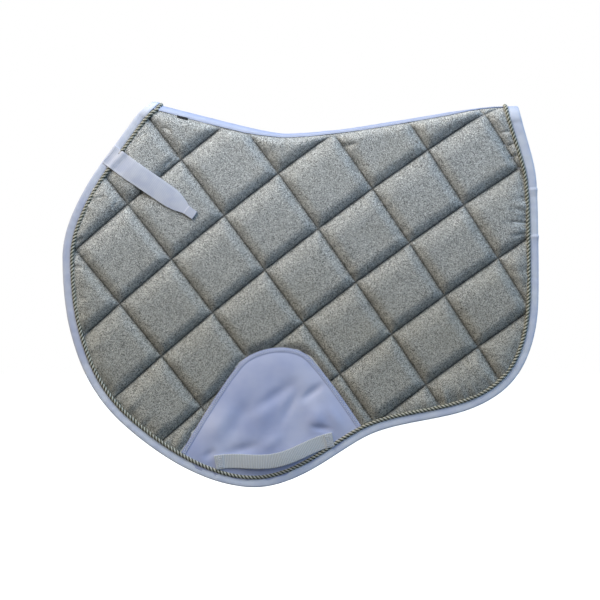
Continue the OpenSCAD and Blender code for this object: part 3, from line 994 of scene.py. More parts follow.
@dataclass
class Pad:
    """What every sub-assembly needs: the shape, the quilting, the finishes and the frame's facts."""

    shape: PadShape
    quilting: Quilting
    wardrobe: Wardrobe
    stitch: ThreadStitch
    bend_top: float = 6 * MM
    bend_bottom: float = -26 * MM

    def attach(self, piece: bpy.types.Object, side: Side, nodes: Sequence[str]) -> None:
        """Bakes a piece's placement into its mesh and hides the CAD nodes it stands for.

        Args:
            piece: The finished piece.
            side: Its flap.
            nodes: The CAD nodes it replaces.
        """
        y = side.value * (self.shape.arch_r - self.shape.panel / 2)
        f"{side.word}_flap"
        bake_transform(piece)
        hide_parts(*nodes)
        log.info("%s: %d faces", piece.name, len(piece.data.polygons))

    def on_flap(self, piece: bpy.types.Object, side: Side, nodes: Sequence[str]) -> None:
        """Lets a piece ride on its flap, for the CAD nodes it stands for."""
        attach(piece, f"{side.word}_flap")
        if nodes:
            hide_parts(*nodes)
        log.info("%s: %d faces", piece.name, len(piece.data.polygons))


@dataclass
class PatchShape:
    """The wear patch's outline: a dome whose feet run under the binding."""

    dome_curves: tuple = (
        ((-165, -484), (-116, -400), (-90, -360), (-68, -332)),
        ((-68, -332), (-48, -306), (18, -294), (42, -328)),
        ((42, -328), (62, -350), (98, -398), (140, -468)),
    )
    dome: Array = field(init=False)

    def __post_init__(self) -> None:
        """Samples the dome from its left foot to its right one."""
        self.dome = chain(self.dome_curves, 24)

    def distance(self, x: Array, z: Array) -> Array:
        """Distance inside the dome's line, negative outside it."""
        points = np.stack([x.ravel(), z.ravel()], axis=1)
        return -nearest(points, self.dome)[0].reshape(x.shape)


@dataclass
class QuiltedSide:
    """One side's shell, wadding and lining, from the spine to the edge."""

    pad: Pad
    patch: PatchShape
    seam_drop: float = 4.2 * MM
    puff: float = 9.6 * MM
    inner_puff: float = 4.4 * MM
    # How wide and how round the cloth rolls down to a seam: beside the falling seams, and above and below the rising
    side_roll: tuple = (18 * MM, 2.1)
    low_roll: tuple = (17.5 * MM, 2.0)
    high_roll: tuple = (30 * MM, 2.0)
    edge_roll: float = 30 * MM
    patch_roll: float = 18 * MM
    # Ruffles beside the seams, gathers below the tape and puckers in from the edge: how high, how far apart and how
    # far they reach, the height as a share of the puff
    ruffle: tuple = (0.17, 0.0052, 0.0065)
    gather: tuple = (0.16, 0.0062, 0.011)
    pucker: tuple = (0.24, 0.0095, 0.017)
    # Roughly how long a diamond's side is
    cell: float = 0.098
    # The seams' stitches keep this far in from the edge, and this far from the spine seam
    seam_in: float = 14 * MM
    seam_below: float = 20 * MM
    sag: float = 0.14
    # The shell is pressed flat under the strap's sewn root: middle, half width and reach
    root: tuple = (-0.2563, -0.0258)
    root_angle: float = 43.7
    root_half: float = 16 * MM
    root_deep: float = 25 * MM
    groove: float = 1.3 * MM
    groove_w: float = 1.6 * MM
    # Painted shade along the seams: its width, and its share on the falling seams
    crease_w: float = 1.8 * MM
    falling_crease: float = 0.6
    cloth_t: float = 0.8 * MM
    shell_steps: int = 46
    lining_steps: int = 24
    rim_in: float = 5 * MM
    inner_tape: float = 12 * MM
    spine_in: float = 4 * MM
    # Loose folds: x, z, length, angle from level, depth, width, in mm and degrees
    folds: tuple = (
        (94, -13, 24, 14, 4.2, 1.7),
        (322, 5, 24, 6, 4.4, 1.7),
        (325, -13, 22, 8, 4.0, 1.7),
        (331, -30, 18, 22, 3.4, 1.7),
        (342, -46, 12, 10, 2.4, 1.7),
        (343, -108, 44, -16, 2.6, 2.6),
        (340, -127, 50, -6, 2.9, 2.6),
        (341, -143, 34, 12, 2.4, 2.6),
        (350, -118, 22, 4, 2.2, 2.0),
        (-171, 9, 16, -22, 3.2, 1.7),
        (-205, 2, 16, 26, 3.0, 1.7),
        (-170, -40, 16, 52, 2.6, 1.8),
        (-268, -90, 18, 12, 2.8, 1.8),
        (-246, -98, 18, 58, 2.4, 1.8),
        (-298, -150, 24, 22, 2.0, 2.2),
        (-303, -190, 26, -8, 2.0, 2.4),
        (-298, -236, 22, -16, 1.8, 2.2),
        (180, -420, 22, 58, 1.8, 2.2),
        (250, -392, 20, 40, 1.8, 2.2),
    )

    @staticmethod
    def _rounded(distance: Array, width: float, power: float = 2.3) -> Array:
        """How far the cloth has risen, 0 to 1, at a distance from a sewn line."""
        return 1 - (1 - np.clip(distance / width, 0, 1)) ** power

    def _relief(self, x: Array, flat: Array, s: Array, inset: Array, along: Array) -> Array:
        """The quilting's relief at cloth points, 0 at the seams and about 1 in mid cell."""
        q = self.pad.quilting
        noise, ruffle = Noise(7), Noise(11)
        u, v = q.value(q.falling, x, flat), q.value(q.rising, x, flat)
        du, dv = q.distance(q.falling, x, flat), q.distance(q.rising, x, flat)
        down = v - np.floor(v)
        beside = np.where(down < 0.5, self._rounded(dv, *self.high_roll), self._rounded(dv, *self.low_roll))
        rise = (self._rounded(du, *self.side_roll) * beside) ** 0.9 * (1 + self.sag * (down - 0.5))
        rise *= 0.95 + 0.07 * noise.at(np.floor(u) * 3.7 + 40, np.floor(v) * 2.9 + 60)
        rise *= 0.25 + 0.75 * self._rounded(inset - 12 * MM - self.pad.shape.shift(x, s), self.edge_roll)
        inside = self.patch.distance(x, flat)
        rise *= self._rounded(np.abs(inside), self.patch_roll)
        rise = np.where(inside > 0, rise * 0.2, rise)
        rise -= self.groove / self.puff * np.exp(-np.minimum(du, dv) / self.groove_w)
        rise += 0.035 * noise.at(x / 0.026 + 90, flat / 0.026 + 90) * np.minimum(1, np.minimum(du, dv) / 0.012)
        high, apart, reach = self.ruffle
        for d, other, line, run in ((du, dv, u, v), (dv, du, v, u)):
            pull = ruffle.at(run * self.cell / apart + 100, np.round(line) * 5.3 + 30)
            rise += high * pull * np.exp(-d / reach) * (1 - np.exp(-d / 0.0012)) * (1 - np.exp(-other / 0.004))
        high, apart, reach = self.gather
        under = s - self.pad.shape.tape(x)
        pull = ruffle.at(x / apart + 50, 12.5 + under / 0.03)
        rise += high * pull * np.exp(-np.maximum(0, under) / reach)
        high, apart, reach = self.pucker
        where = 0.35 + 0.65 * smooth(noise.at(along / 0.11 + 20, 3.5) * 1.2 + 0.6)
        pull = ruffle.at(along / apart + 10, 80.5 + inset / 0.05)
        rise += high * where * pull * np.exp(-np.maximum(0, inset - 15 * MM) / reach)
        cos, sin = slant(self.root_angle)
        rx, rz = x - self.root[0], flat - self.root[1]
        deep, wide = rx * cos - rz * sin, rx * sin + rz * cos
        press = smooth((self.root_deep + 6 * MM - deep) / (10 * MM))
        press *= smooth((self.root_half + 5 * MM - np.abs(wide)) / (8 * MM))
        rise *= 1 - 0.8 * press
        for fx, fz, length, angle, depth, width in self.folds:
            run, away = from_fold(x, flat, (fx, fz), angle)
            reach = np.clip(1 - (run / (length * MM / 2)) ** 2, 0, 1)
            rise -= depth * MM / self.puff * reach * np.exp(-((away / (width * MM)) ** 2))
        return rise

    def _grid(self, steps: int) -> tuple[Array, Array, Array, Array, Array, Array]:
        """Cloth points on a grid whose lines run along the seams, closer together beside them.

        Args:
            steps: Points across one diamond.

        Returns:
            x, flat height, s, inset, distance along the edge, and faces inside the pad.
        """
        q, shape = self.pad.quilting, self.pad.shape
        t = np.arange(steps) / steps
        t = 0.3 * t + 0.7 * (0.5 - 0.5 * np.cos(math.pi * t))
        u = (np.arange(*q.falling_range)[:, None] + t).ravel()
        v = (np.arange(*q.rising_range)[:, None] + t).ravel()
        uu, vv = np.meshgrid(u, v, indexing="ij")
        x, flat = q.solve(uu.ravel(), vv.ravel())
        s = shape.depth_of_flat(x, flat)
        near = (x > -0.34) & (x < 0.38) & (flat > -0.52) & (s > 0)
        inset, along = np.full(len(x), -1.0), np.zeros(len(x))
        side_z = shape.place(x[near], s[near], 0)[:, 2]
        inset[near], along[near] = nearest(np.stack([x[near], side_z], axis=1), shape.edge)
        keep = (inset > self.rim_in) & (s > self.spine_in)
        faces = grid_faces(len(u), len(v))
        faces = faces[keep[faces].all(1)]
        used = np.unique(faces)
        index = np.full(len(x), -1)
        index[used] = np.arange(len(used))
        return x[used], flat[used], s[used], inset[used], along[used], index[faces]

    def _layer(self, grid: tuple, out: float, back: float, outer: bool) -> Surface:
        """One quilted layer, closed.

        Args:
            grid: What _grid gave.
            out: How far the visible face is moved out of the layer stack.
            back: How far behind it the hidden face is.
            outer: True on the shell's side, False on the lining's.

        Returns:
            The closed layer.
        """
        shape = self.pad.shape
        x, flat, s, inset, along, faces = grid
        rise = self._relief(x, flat, s, inset, along)
        under = shape.tape(x) - 1.5 * MM if outer else self.inner_tape
        free = smooth((s - under) / (15 * MM))
        if outer:
            off = free * (-self.seam_drop + self.puff * rise) - (1 - free) * 0.6 * MM + out
            near = smooth((14.6 * MM + shape.shift(x, s) - inset) / (2.2 * MM))
            off -= near * np.maximum(0, off + 2.2 * MM)
            front, hidden = shape.place(x, s, off), shape.place(x, s, off - back)
        else:
            seam = -shape.thickness(s) + free * 3.4 * MM + (1 - free) * 0.3 * MM
            off = seam - free * self.inner_puff * np.clip(rise, 0, None) - out
            front, hidden = shape.place(x, s, off), shape.place(x, s, off + back)
        cloth = np.stack([x, flat], axis=1)
        q = self.pad.quilting
        # Painted shade along the seams, fainter on the falling ones and kept off the patch, carried as the tint
        line = [np.exp(-((q.distance(c, x, flat) / self.crease_w) ** 2)) for c in (q.falling, q.rising)]
        crease = np.maximum(self.falling_crease * line[0], line[1])
        crease *= smooth(free * 2) * (self.patch.distance(x, flat) < 0)
        faces = turned(front, faces, shape.normal(s[faces[:, 0]]) * (1 if outer else -1))
        return thick(Surface(front, faces, cloth, crease), hidden)

    def build(self) -> None:
        """Makes the shell, wadding and lining of both sides."""
        fine, coarse = self._grid(self.shell_steps), self._grid(self.lining_steps)
        wadding_grid = self._grid(12)
        shell = self._layer(fine, 0, self.cloth_t, True)
        lining = self._layer(coarse, 0, self.cloth_t, False)
        core = self._wadding(wadding_grid)
        seams = self._seams()
        wardrobe = self.pad.wardrobe
        for side in Side:
            word = side.word
            for name, surface, material, slot, fill in (
                ("shell", shell, wardrobe.glitter, "glitter_fabric", 0.7),
                ("wadding", core, wardrobe.wadding, "wadding", 0.5),
                ("lining", lining, wardrobe.lining, "lining_fabric", 0.5),
            ):
                piece = to_object(f"{word}_quilted_{name}", surface, side)
                dress(piece, material, slot)
                self.pad.attach(piece, side, [f"{word}_{name}", f"{word}_arch_{name}"])
            threads = to_object(f"{word}_quilting_stitches", seams, side)
            dress(threads, wardrobe.grey_thread, "sewing_thread")
            self.pad.attach(threads, side, [])

    def _wadding(self, grid: tuple) -> Surface:
        """The filling between the shell and the lining."""
        shape = self.pad.shape
        x, flat, s, inset, along, faces = grid
        rise = self._relief(x, flat, s, inset, along)
        free = smooth((s - shape.tape(x)) / (16 * MM))
        top = free * (-self.seam_drop + self.puff * rise) - (1 - free) * 0.6 * MM - 1.3 * MM
        bottom = -shape.thickness(s) + free * (3.4 * MM - self.inner_puff * np.clip(rise, 0, None))
        bottom = np.minimum(bottom + (1 - free) * 0.3 * MM + 1.3 * MM, top - 0.2 * MM)
        front, hidden = shape.place(x, s, top), shape.place(x, s, bottom)
        faces = turned(front, faces, shape.normal(s[faces[:, 0]]))
        return thick(Surface(front, faces, np.stack([x, flat], axis=1)), hidden)

    def _seams(self) -> Surface:
        """The quilting stitches at the bottom of the seams."""
        q, shape = self.pad.quilting, self.pad.shape
        rows = []
        for own, other, swap in ((q.falling_range, q.rising_range, False), (q.rising_range, q.falling_range, True)):
            for line in range(*own):
                t = np.linspace(other[0], other[1], 420)
                k = np.full_like(t, line)
                x, flat = q.solve(t, k) if swap else q.solve(k, t)
                s = shape.depth_of_flat(x, flat)
                point = shape.place(x, s, -self.seam_drop + 0.15 * MM)
                inset = nearest(np.stack([x, point[:, 2]], axis=1), shape.edge)[0]
                inside = (inset > self.seam_in) & (s > self.seam_below) & (self.patch.distance(x, flat) < 0)
                for run in np.split(np.arange(len(t)), np.where(np.diff(inside.astype(int)))[0] + 1):
                    if inside[run[0]] and len(run) > 8:
                        normals = shape.normal(s[run])
                        rows.append(self.pad.stitch.row(point[run], normals, 2.8 * MM, 0.9 * MM, 0.28 * MM))
        return joined(rows)


@dataclass
class Edging:
    """The folded binding and the twisted cord beside it."""

    pad: Pad
    half: float = 4.6 * MM
    cord_in: float = 14.7 * MM
    strand_r: float = 1.48 * MM
    helix_r: float = 1.54 * MM
    # Heights at which the rear binding's length is joined, and how long and thick each overlap is
    joins: tuple = (-76.4 * MM, -145 * MM)
    join_run: float = 14 * MM
    join_rise: float = 1.5 * MM
    lay: float = 10.8 * MM
    strands: int = 4

    def _path(self, inset: float, step: float, off: Callable[[Array], Array]) -> tuple[Array, Array, Array]:
        """A line round the edge in space, with its normals and its depths down the section."""
        shape = self.pad.shape
        x, s = shape.rim(inset, step)
        if inset > 0:
            x = x - shape.shift(x, s)
        return shape.place(x, s, off(s)), shape.normal(s), s

    def _binding(self) -> Surface:
        """The binding, wrapped round the edge from the ridge's front to its rear."""
        shape, noise = self.pad.shape, Noise(23)
        path, normals, s = self._path(0, 1.9 * MM, lambda s: -shape.thickness(s) / 2)
        along = lengths(path)
        joins = [along[np.argmin(np.abs(path[:, 2] - z) + (path[:, 0] < 0))] for z in self.joins]
        outline = np.array([
            (12.6, 0.62), (12.0, 0.86), (9.0, 0.97), (5.6, 1.0), (2.0, 1.0), (0.7, 0.86), (0.2, 0.46),
            (0.2, -0.46), (0.7, -0.86), (2.0, -1.0), (5.6, -1.0), (9.0, -0.97), (12.0, -0.86), (12.6, -0.62),
        ])
        inner = np.array([
            (12.2, -0.42), (9.0, -0.76), (5.6, -0.80), (3.2, -0.70), (2.0, -0.30),
            (2.0, 0.30), (3.2, 0.70), (5.6, 0.80), (9.0, 0.76), (12.2, 0.42),
        ])
        loop = np.vstack([outline, inner])
        skin = np.concatenate([np.ones(len(outline)), np.zeros(len(inner))])
        rows = np.arange(len(loop))
        widening = shape.shift(path[:, 0], s) / (12 * MM)

        def profile(a: float) -> Array:
            """The folded section at a distance along the edge."""
            pasts = [(join - a) / self.join_run for join in joins]
            fold = sum(self.join_rise * (1 - past) ** 2 for past in pasts if 0 <= past < 1)
            wave = noise.at(a / 0.045 + 3, 5.5) * 0.35 * MM
            crease = noise.at(a / 0.0062 + rows * 0.12, rows * 0.12 + 9) * 0.34 * MM * skin
            deep = noise.at(a / 0.019 + 7, rows * 0.15 + 31) * 0.18 * MM * skin
            half = self.half + fold
            out = loop[:, 1] * half + np.sign(loop[:, 1]) * (crease + deep)
            wider = 1 + np.interp(a, along, widening)
            inward = loop[:, 0] * MM * wider + wave - 0.6 * fold * (loop[:, 0] < 3)
            return np.stack([inward, out], axis=1)

        return sweep(path, normals, profile)

    def _cord(self) -> Surface:
        """Four strands laid round each other, pale and dark in turn."""
        lift = lambda s: 2.0 * MM * (1 - smooth((s - 8 * MM) / (18 * MM))) - 0.1 * MM
        path, normals, s = self._path(self.cord_in, self.lay / 9, lift)
        run = directions(path)
        inward = unit(np.cross(normals, run))
        out = np.cross(run, inward)
        along = lengths(path)
        sides = 6
        ring = np.arange(sides) * 2 * math.pi / sides
        shape = self.strand_r * np.stack([np.cos(ring), np.sin(ring)], axis=1)
        strands = []
        for k in range(self.strands):
            turn = 2 * math.pi * (along / self.lay + k / self.strands)
            away = np.cos(turn)[:, None] * inward + np.sin(turn)[:, None] * out
            strand = sweep(path + self.helix_r * away, away, shape)
            strand.tint = np.full(len(strand.points), float(k % 2))
            # A quad starts where its split makes the twisted strand round, not hollow
            strand.faces = np.roll(strand.faces, 1, axis=1)
            strands.append(strand)
        return joined(strands)

    def build(self) -> None:
        """Makes the binding and cord of both sides."""
        binding, cord = self._binding(), self._cord()
        for side in Side:
            word = side.word
            piece = to_object(f"{word}_folded_binding", binding, side)
            dress(piece, self.pad.wardrobe.binding, "binding_fabric")
            self.pad.attach(piece, side, [f"{word}_binding", "front_arch_binding", "rear_arch_binding"])
            piece = to_object(f"{word}_twisted_cord", cord, side)
            dress(piece, self.pad.wardrobe.cord, "piping_cord")
            self.pad.attach(piece, side, [f"{word}_cord", "front_arch_cord", "rear_arch_cord"])


@dataclass
class GirthPatch:
    """The wear patch, its sewn hem, and the webbing loop over it."""

    pad: Pad
    patch: PatchShape
    foot_in: float = 7 * MM
    hem: float = 6.5 * MM
    # The two rows of stitches, in from the hem's edge
    rows: tuple = (1.6 * MM, 5.2 * MM)
    cloth_t: float = 0.7 * MM
    loop_start: tuple = (-99, -474)
    loop_end: tuple = (68, -441)
    loop_sag: float = 13 * MM
    loop_rise: float = 8 * MM
    loop_w: float = 21 * MM
    loop_t: float = 1.5 * MM
    cut_size: tuple = field(init=False)
    cut_area: float = field(init=False)
    # Soft folds in the patch: x, z, length, angle, height, width, in mm and degrees
    folds: tuple = (
        (-15, -378, 120, 34, -2.2, 9),
        (8, -392, 90, 62, -1.4, 7),
        (-30, -400, 120, 66, 1.6, 14),
        (40, -372, 60, 38, -2.0, 6),
        (46, -410, 50, 70, 1.8, 12),
        (-96, -420, 90, 58, 1.8, 13),
        (-66, -412, 100, 62, -1.3, 10),
        (-62, -455, 70, 14, -1.6, 7),
        (-20, -446, 60, 40, 1.4, 9),
        (52, -424, 44, -8, -1.8, 5),
        (72, -408, 60, -58, 1.2, 8),
        (-110, -462, 30, 40, -1.4, 6),
    )

    def height(self, x: Array, z: Array) -> Array:
        """How far the patch stands out from the CAD panel's face."""
        border = np.maximum(0, self.patch.distance(x, z))
        points = np.stack([x.ravel(), z.ravel()], axis=1)
        inset = nearest(points, self.pad.shape.edge)[0].reshape(x.shape)
        noise = Noise(31)
        full = 1 - (1 - np.clip(border / (38 * MM), 0, 1)) ** 2.4
        full *= 0.3 + 0.7 * (1 - (1 - np.clip((inset - 13 * MM) / (30 * MM), 0, 1)) ** 2.4)
        off = -2.0 * MM + 4.2 * MM * full
        off += 0.5 * MM * noise.at(x / 0.021 + 12, z / 0.021 + 44) * full
        for fx, fz, length, angle, tall, width in self.folds:
            run, away = from_fold(x, z, (fx, fz), angle)
            reach = smooth(1 - np.abs(run) / (length * MM / 2))
            off += 1.5 * tall * MM * reach * np.exp(-((away / (width * MM)) ** 2)) * np.clip(full * 1.6, 0, 1)
        hem = smooth((self.hem - border) / (0.8 * MM) + 0.5)
        pucker = noise.at(lengths_on(self.patch.dome, points).reshape(x.shape) / 0.0042, 4.2)
        sewn = sum(np.exp(-(((border - row) / (0.55 * MM)) ** 2)) for row in self.rows)
        off += hem * (0.85 * MM + 0.16 * MM * pucker - 0.35 * MM * sewn)
        return off

    def _sheet(self) -> Surface:
        """The patch cloth, from under the binding to the dome's line."""
        shape, count, rows = self.pad.shape, 150, 96
        dome = resample(self.patch.dome, 1 * MM)[0]
        inset = nearest(dome, shape.edge)[0]
        dome = dome[inset > self.foot_in + 1 * MM]
        dome = resample(dome, lengths(dome)[-1] / count)[0]
        fine = resample(shape.edge, 1.5 * MM)[0]
        foot = fine + self.foot_in * left_of(directions(fine))
        first = np.argmin(np.linalg.norm(foot - dome[0], axis=1))
        last = np.argmin(np.linalg.norm(foot - dome[-1], axis=1))
        foot = resample(foot[first : last + 1], lengths(foot[first : last + 1])[-1] / (len(dome) - 1))[0]
        foot = foot[: len(dome)]
        w = np.linspace(0, 1, rows)
        w = 0.35 * w + 0.65 * np.sin(w * math.pi / 2)
        grid = foot[None] + w[:, None, None] * (dome - foot)[None]
        x, z = grid[:, :, 0], grid[:, :, 1]
        off = self.height(x, z)
        s = shape.depth_of(x, z)
        front = shape.place(x, s, off).reshape(-1, 3)
        back = shape.place(x, s, off - self.cloth_t).reshape(-1, 3)
        faces = turned(front, grid_faces(rows, len(dome)), OUT_LEFT)
        a, b, c, d = (front[faces[:, k]] for k in range(4))
        self.cut_area = float(np.linalg.norm(np.cross(c - a, d - b), axis=1).sum() / 2)
        self.cut_size = tuple(float(v) for v in np.ptp(front[:, [0, 2]], axis=0))
        border = self.patch.distance(x, z).ravel()
        tint = smooth((self.hem + 0.3 * MM - border) / (0.8 * MM)) * smooth((border - 0.2 * MM) / (0.6 * MM))
        return thick(Surface(front, faces, grid.reshape(-1, 2), tint), back)

    def _hem_stitches(self) -> Surface:
        """Two rows of stitches along the hem, with a zigzag between them."""
        shape = self.pad.shape
        dome = resample(self.patch.dome, 1 * MM)[0]
        dome = dome[nearest(dome, shape.edge)[0] > 17.5 * MM]
        inward = -left_of(directions(dome))
        if (self.patch.distance(*(dome[60:61] + 0.003 * inward[60:61]).T) < 0).any():
            inward = -inward
        made = [self._threads(dome + depth * inward, 2.4 * MM, 0.7 * MM, 0.5 * MM) for depth in self.rows]
        step = 2.3 * MM
        fine, side = resample(dome, step, inward)
        zig = fine + np.where(np.arange(len(fine)) % 2 == 0, 1.9 * MM, 4.9 * MM)[:, None] * side
        for first, last in zip(zig, zig[1:]):
            made.append(self._threads(np.linspace(first, last, 6), 3.1 * MM, 0.1 * MM, 0.4 * MM))
        return joined(made)

    def _threads(self, line: Array, stitch: float, space: float, radius: float) -> Surface:
        """Stitches along a line in the side view, on top of the patch."""
        shape = self.pad.shape
        x, z = line[:, 0], line[:, 1]
        s = shape.depth_of(x, z)
        point = shape.place(x, s, self.height(x, z) + 0.12 * MM)
        return self.pad.stitch.row(point, shape.normal(s), stitch, space, radius)

    def _rest(self, line: Array, t: Array) -> Array:
        """How far off the panel's face the loop's underside would lie if it weren't slack."""
        ends = smooth(1 - t / 0.10) + smooth(1 - (1 - t) / 0.10)
        low = 1.2 * MM * (1 - ends) + 0.6 * MM * ends
        return np.maximum(self.height(line[:, 0], line[:, 1]), low) + 0.25 * MM

    def _loop_line(self, count: int) -> tuple[Array, Array, Array]:
        """The loop's middle line: side-view points, how far it stands off, and its fraction along."""
        start, end = np.array(self.loop_start) * MM, np.array(self.loop_end) * MM
        t = np.linspace(-0.012, 1.012, count)
        level = (end - start) / np.linalg.norm(end - start)
        down = np.array([level[1], -level[0]])
        sag = self.loop_sag * np.sin(math.pi * np.clip(t, 0, 1)) ** 2
        line = start + (end - start) * t[:, None] + down * sag[:, None]
        free = np.clip((t - 0.08) / 0.84, 0, 1)
        rise = self.loop_rise * np.sin(math.pi * free) ** 1.4
        return line, rise, t

    def _loop(self) -> Surface:
        """The webbing, ribbed across, sewn flat at both ends and slack between them."""
        line, rise, t = self._loop_line(430)
        rest = self._rest(line, t)
        path = np.stack([line[:, 0], -(self.pad.shape.arch_r + rest + rise), line[:, 1]], axis=1)
        normals, run = np.tile(OUT_LEFT, (len(path), 1)), directions(path)
        normals = unit(normals - (normals * run).sum(1)[:, None] * run)
        along = lengths(path)
        total = along[-1]
        count, half = 12, self.loop_w / 2
        across = half * np.sin(np.linspace(-math.pi / 2, math.pi / 2, count))

        def profile(a: float) -> Array:
            """The webbing's section, thicker over a rib and where the end is folded under."""
            rib = 0.14 * MM * math.sin(2 * math.pi * a / (2.4 * MM))
            fold = 0.7 * MM if min(a, total - a) < 12 * MM else 0.0
            curl = 0.5 * MM * np.sin(math.pi * a / total) * (across / half) ** 2
            top = np.full(count, self.loop_t + rib + fold)
            top[[0, -1]] -= 0.45 * MM
            bottom = np.zeros(count)
            bottom[[0, -1]] += 0.3 * MM
            upper = np.stack([across, top - curl], axis=1)
            lower = np.stack([across[::-1], bottom - curl], axis=1)
            return np.vstack([upper, lower])[::-1]

        return sweep(path, normals, profile)

    def _tacks(self) -> Surface:
        """Dense bar tacks at both ends of the loop."""
        line = self._loop_line(430)[0]
        level = (np.array(self.loop_end) - np.array(self.loop_start)) * MM
        reach = np.linalg.norm(level)
        level /= reach
        across = np.array([-level[1], level[0]])
        rows = []
        for end, sign in ((line[0], 1), (line[-1], -1)):
            for row in range(7):
                middle = end + level * sign * (3.2 + row * 1.25) * MM
                ends = middle + np.array([[-1], [1]]) * across * (8.6 * MM)
                zig = np.linspace(ends[0], ends[1], 12)
                place = np.full(1, (3.2 + row * 1.25) * MM / reach)
                place = place if sign > 0 else 1 - place
                deep = self.pad.shape.arch_r + self._rest(middle[None], place) + self.loop_t + 0.95 * MM
                deep = np.repeat(deep, len(zig))
                path = np.stack([zig[:, 0], -deep, zig[:, 1]], axis=1)
                normals = np.tile(OUT_LEFT, (len(path), 1))
                rows.append(self.pad.stitch.row(path, normals, 2.2 * MM, 0.35 * MM, 0.3 * MM))
        return joined(rows)

    def build(self) -> None:
        """Makes the patch, stitches, loop and tacks of both sides."""
        sheet, hem, loop, tacks = self._sheet(), self._hem_stitches(), self._loop(), self._tacks()
        wardrobe = self.pad.wardrobe
        for side in Side:
            word = side.word
            patch = to_object(f"{word}_wear_patch", sheet, side)
            dress(patch, wardrobe.patch, "patch_fabric")
            self.pad.on_flap(patch, side, [f"{word}_girth_patch"])
            piece = to_object(f"{word}_patch_stitches", hem, side)
            dress(piece, wardrobe.thread, "sewing_thread")
            self.pad.on_flap(piece, side, [])
            piece = to_object(f"{word}_webbing_loop", loop, side)
            dress(piece, wardrobe.webbing, "loop_webbing")
            self.pad.on_flap(piece, side, [f"{word}_girth_loop"])
            piece = to_object(f"{word}_bar_tacks", tacks, side)
            dress(piece, wardrobe.thread, "sewing_thread")
            self.pad.on_flap(piece, side, [f"{word}_loop_tacks"])


def lengths_on(line: Array, points: Array) -> Array:
    """How far along a line each point's nearest place is."""
    return nearest(points, line)[1]


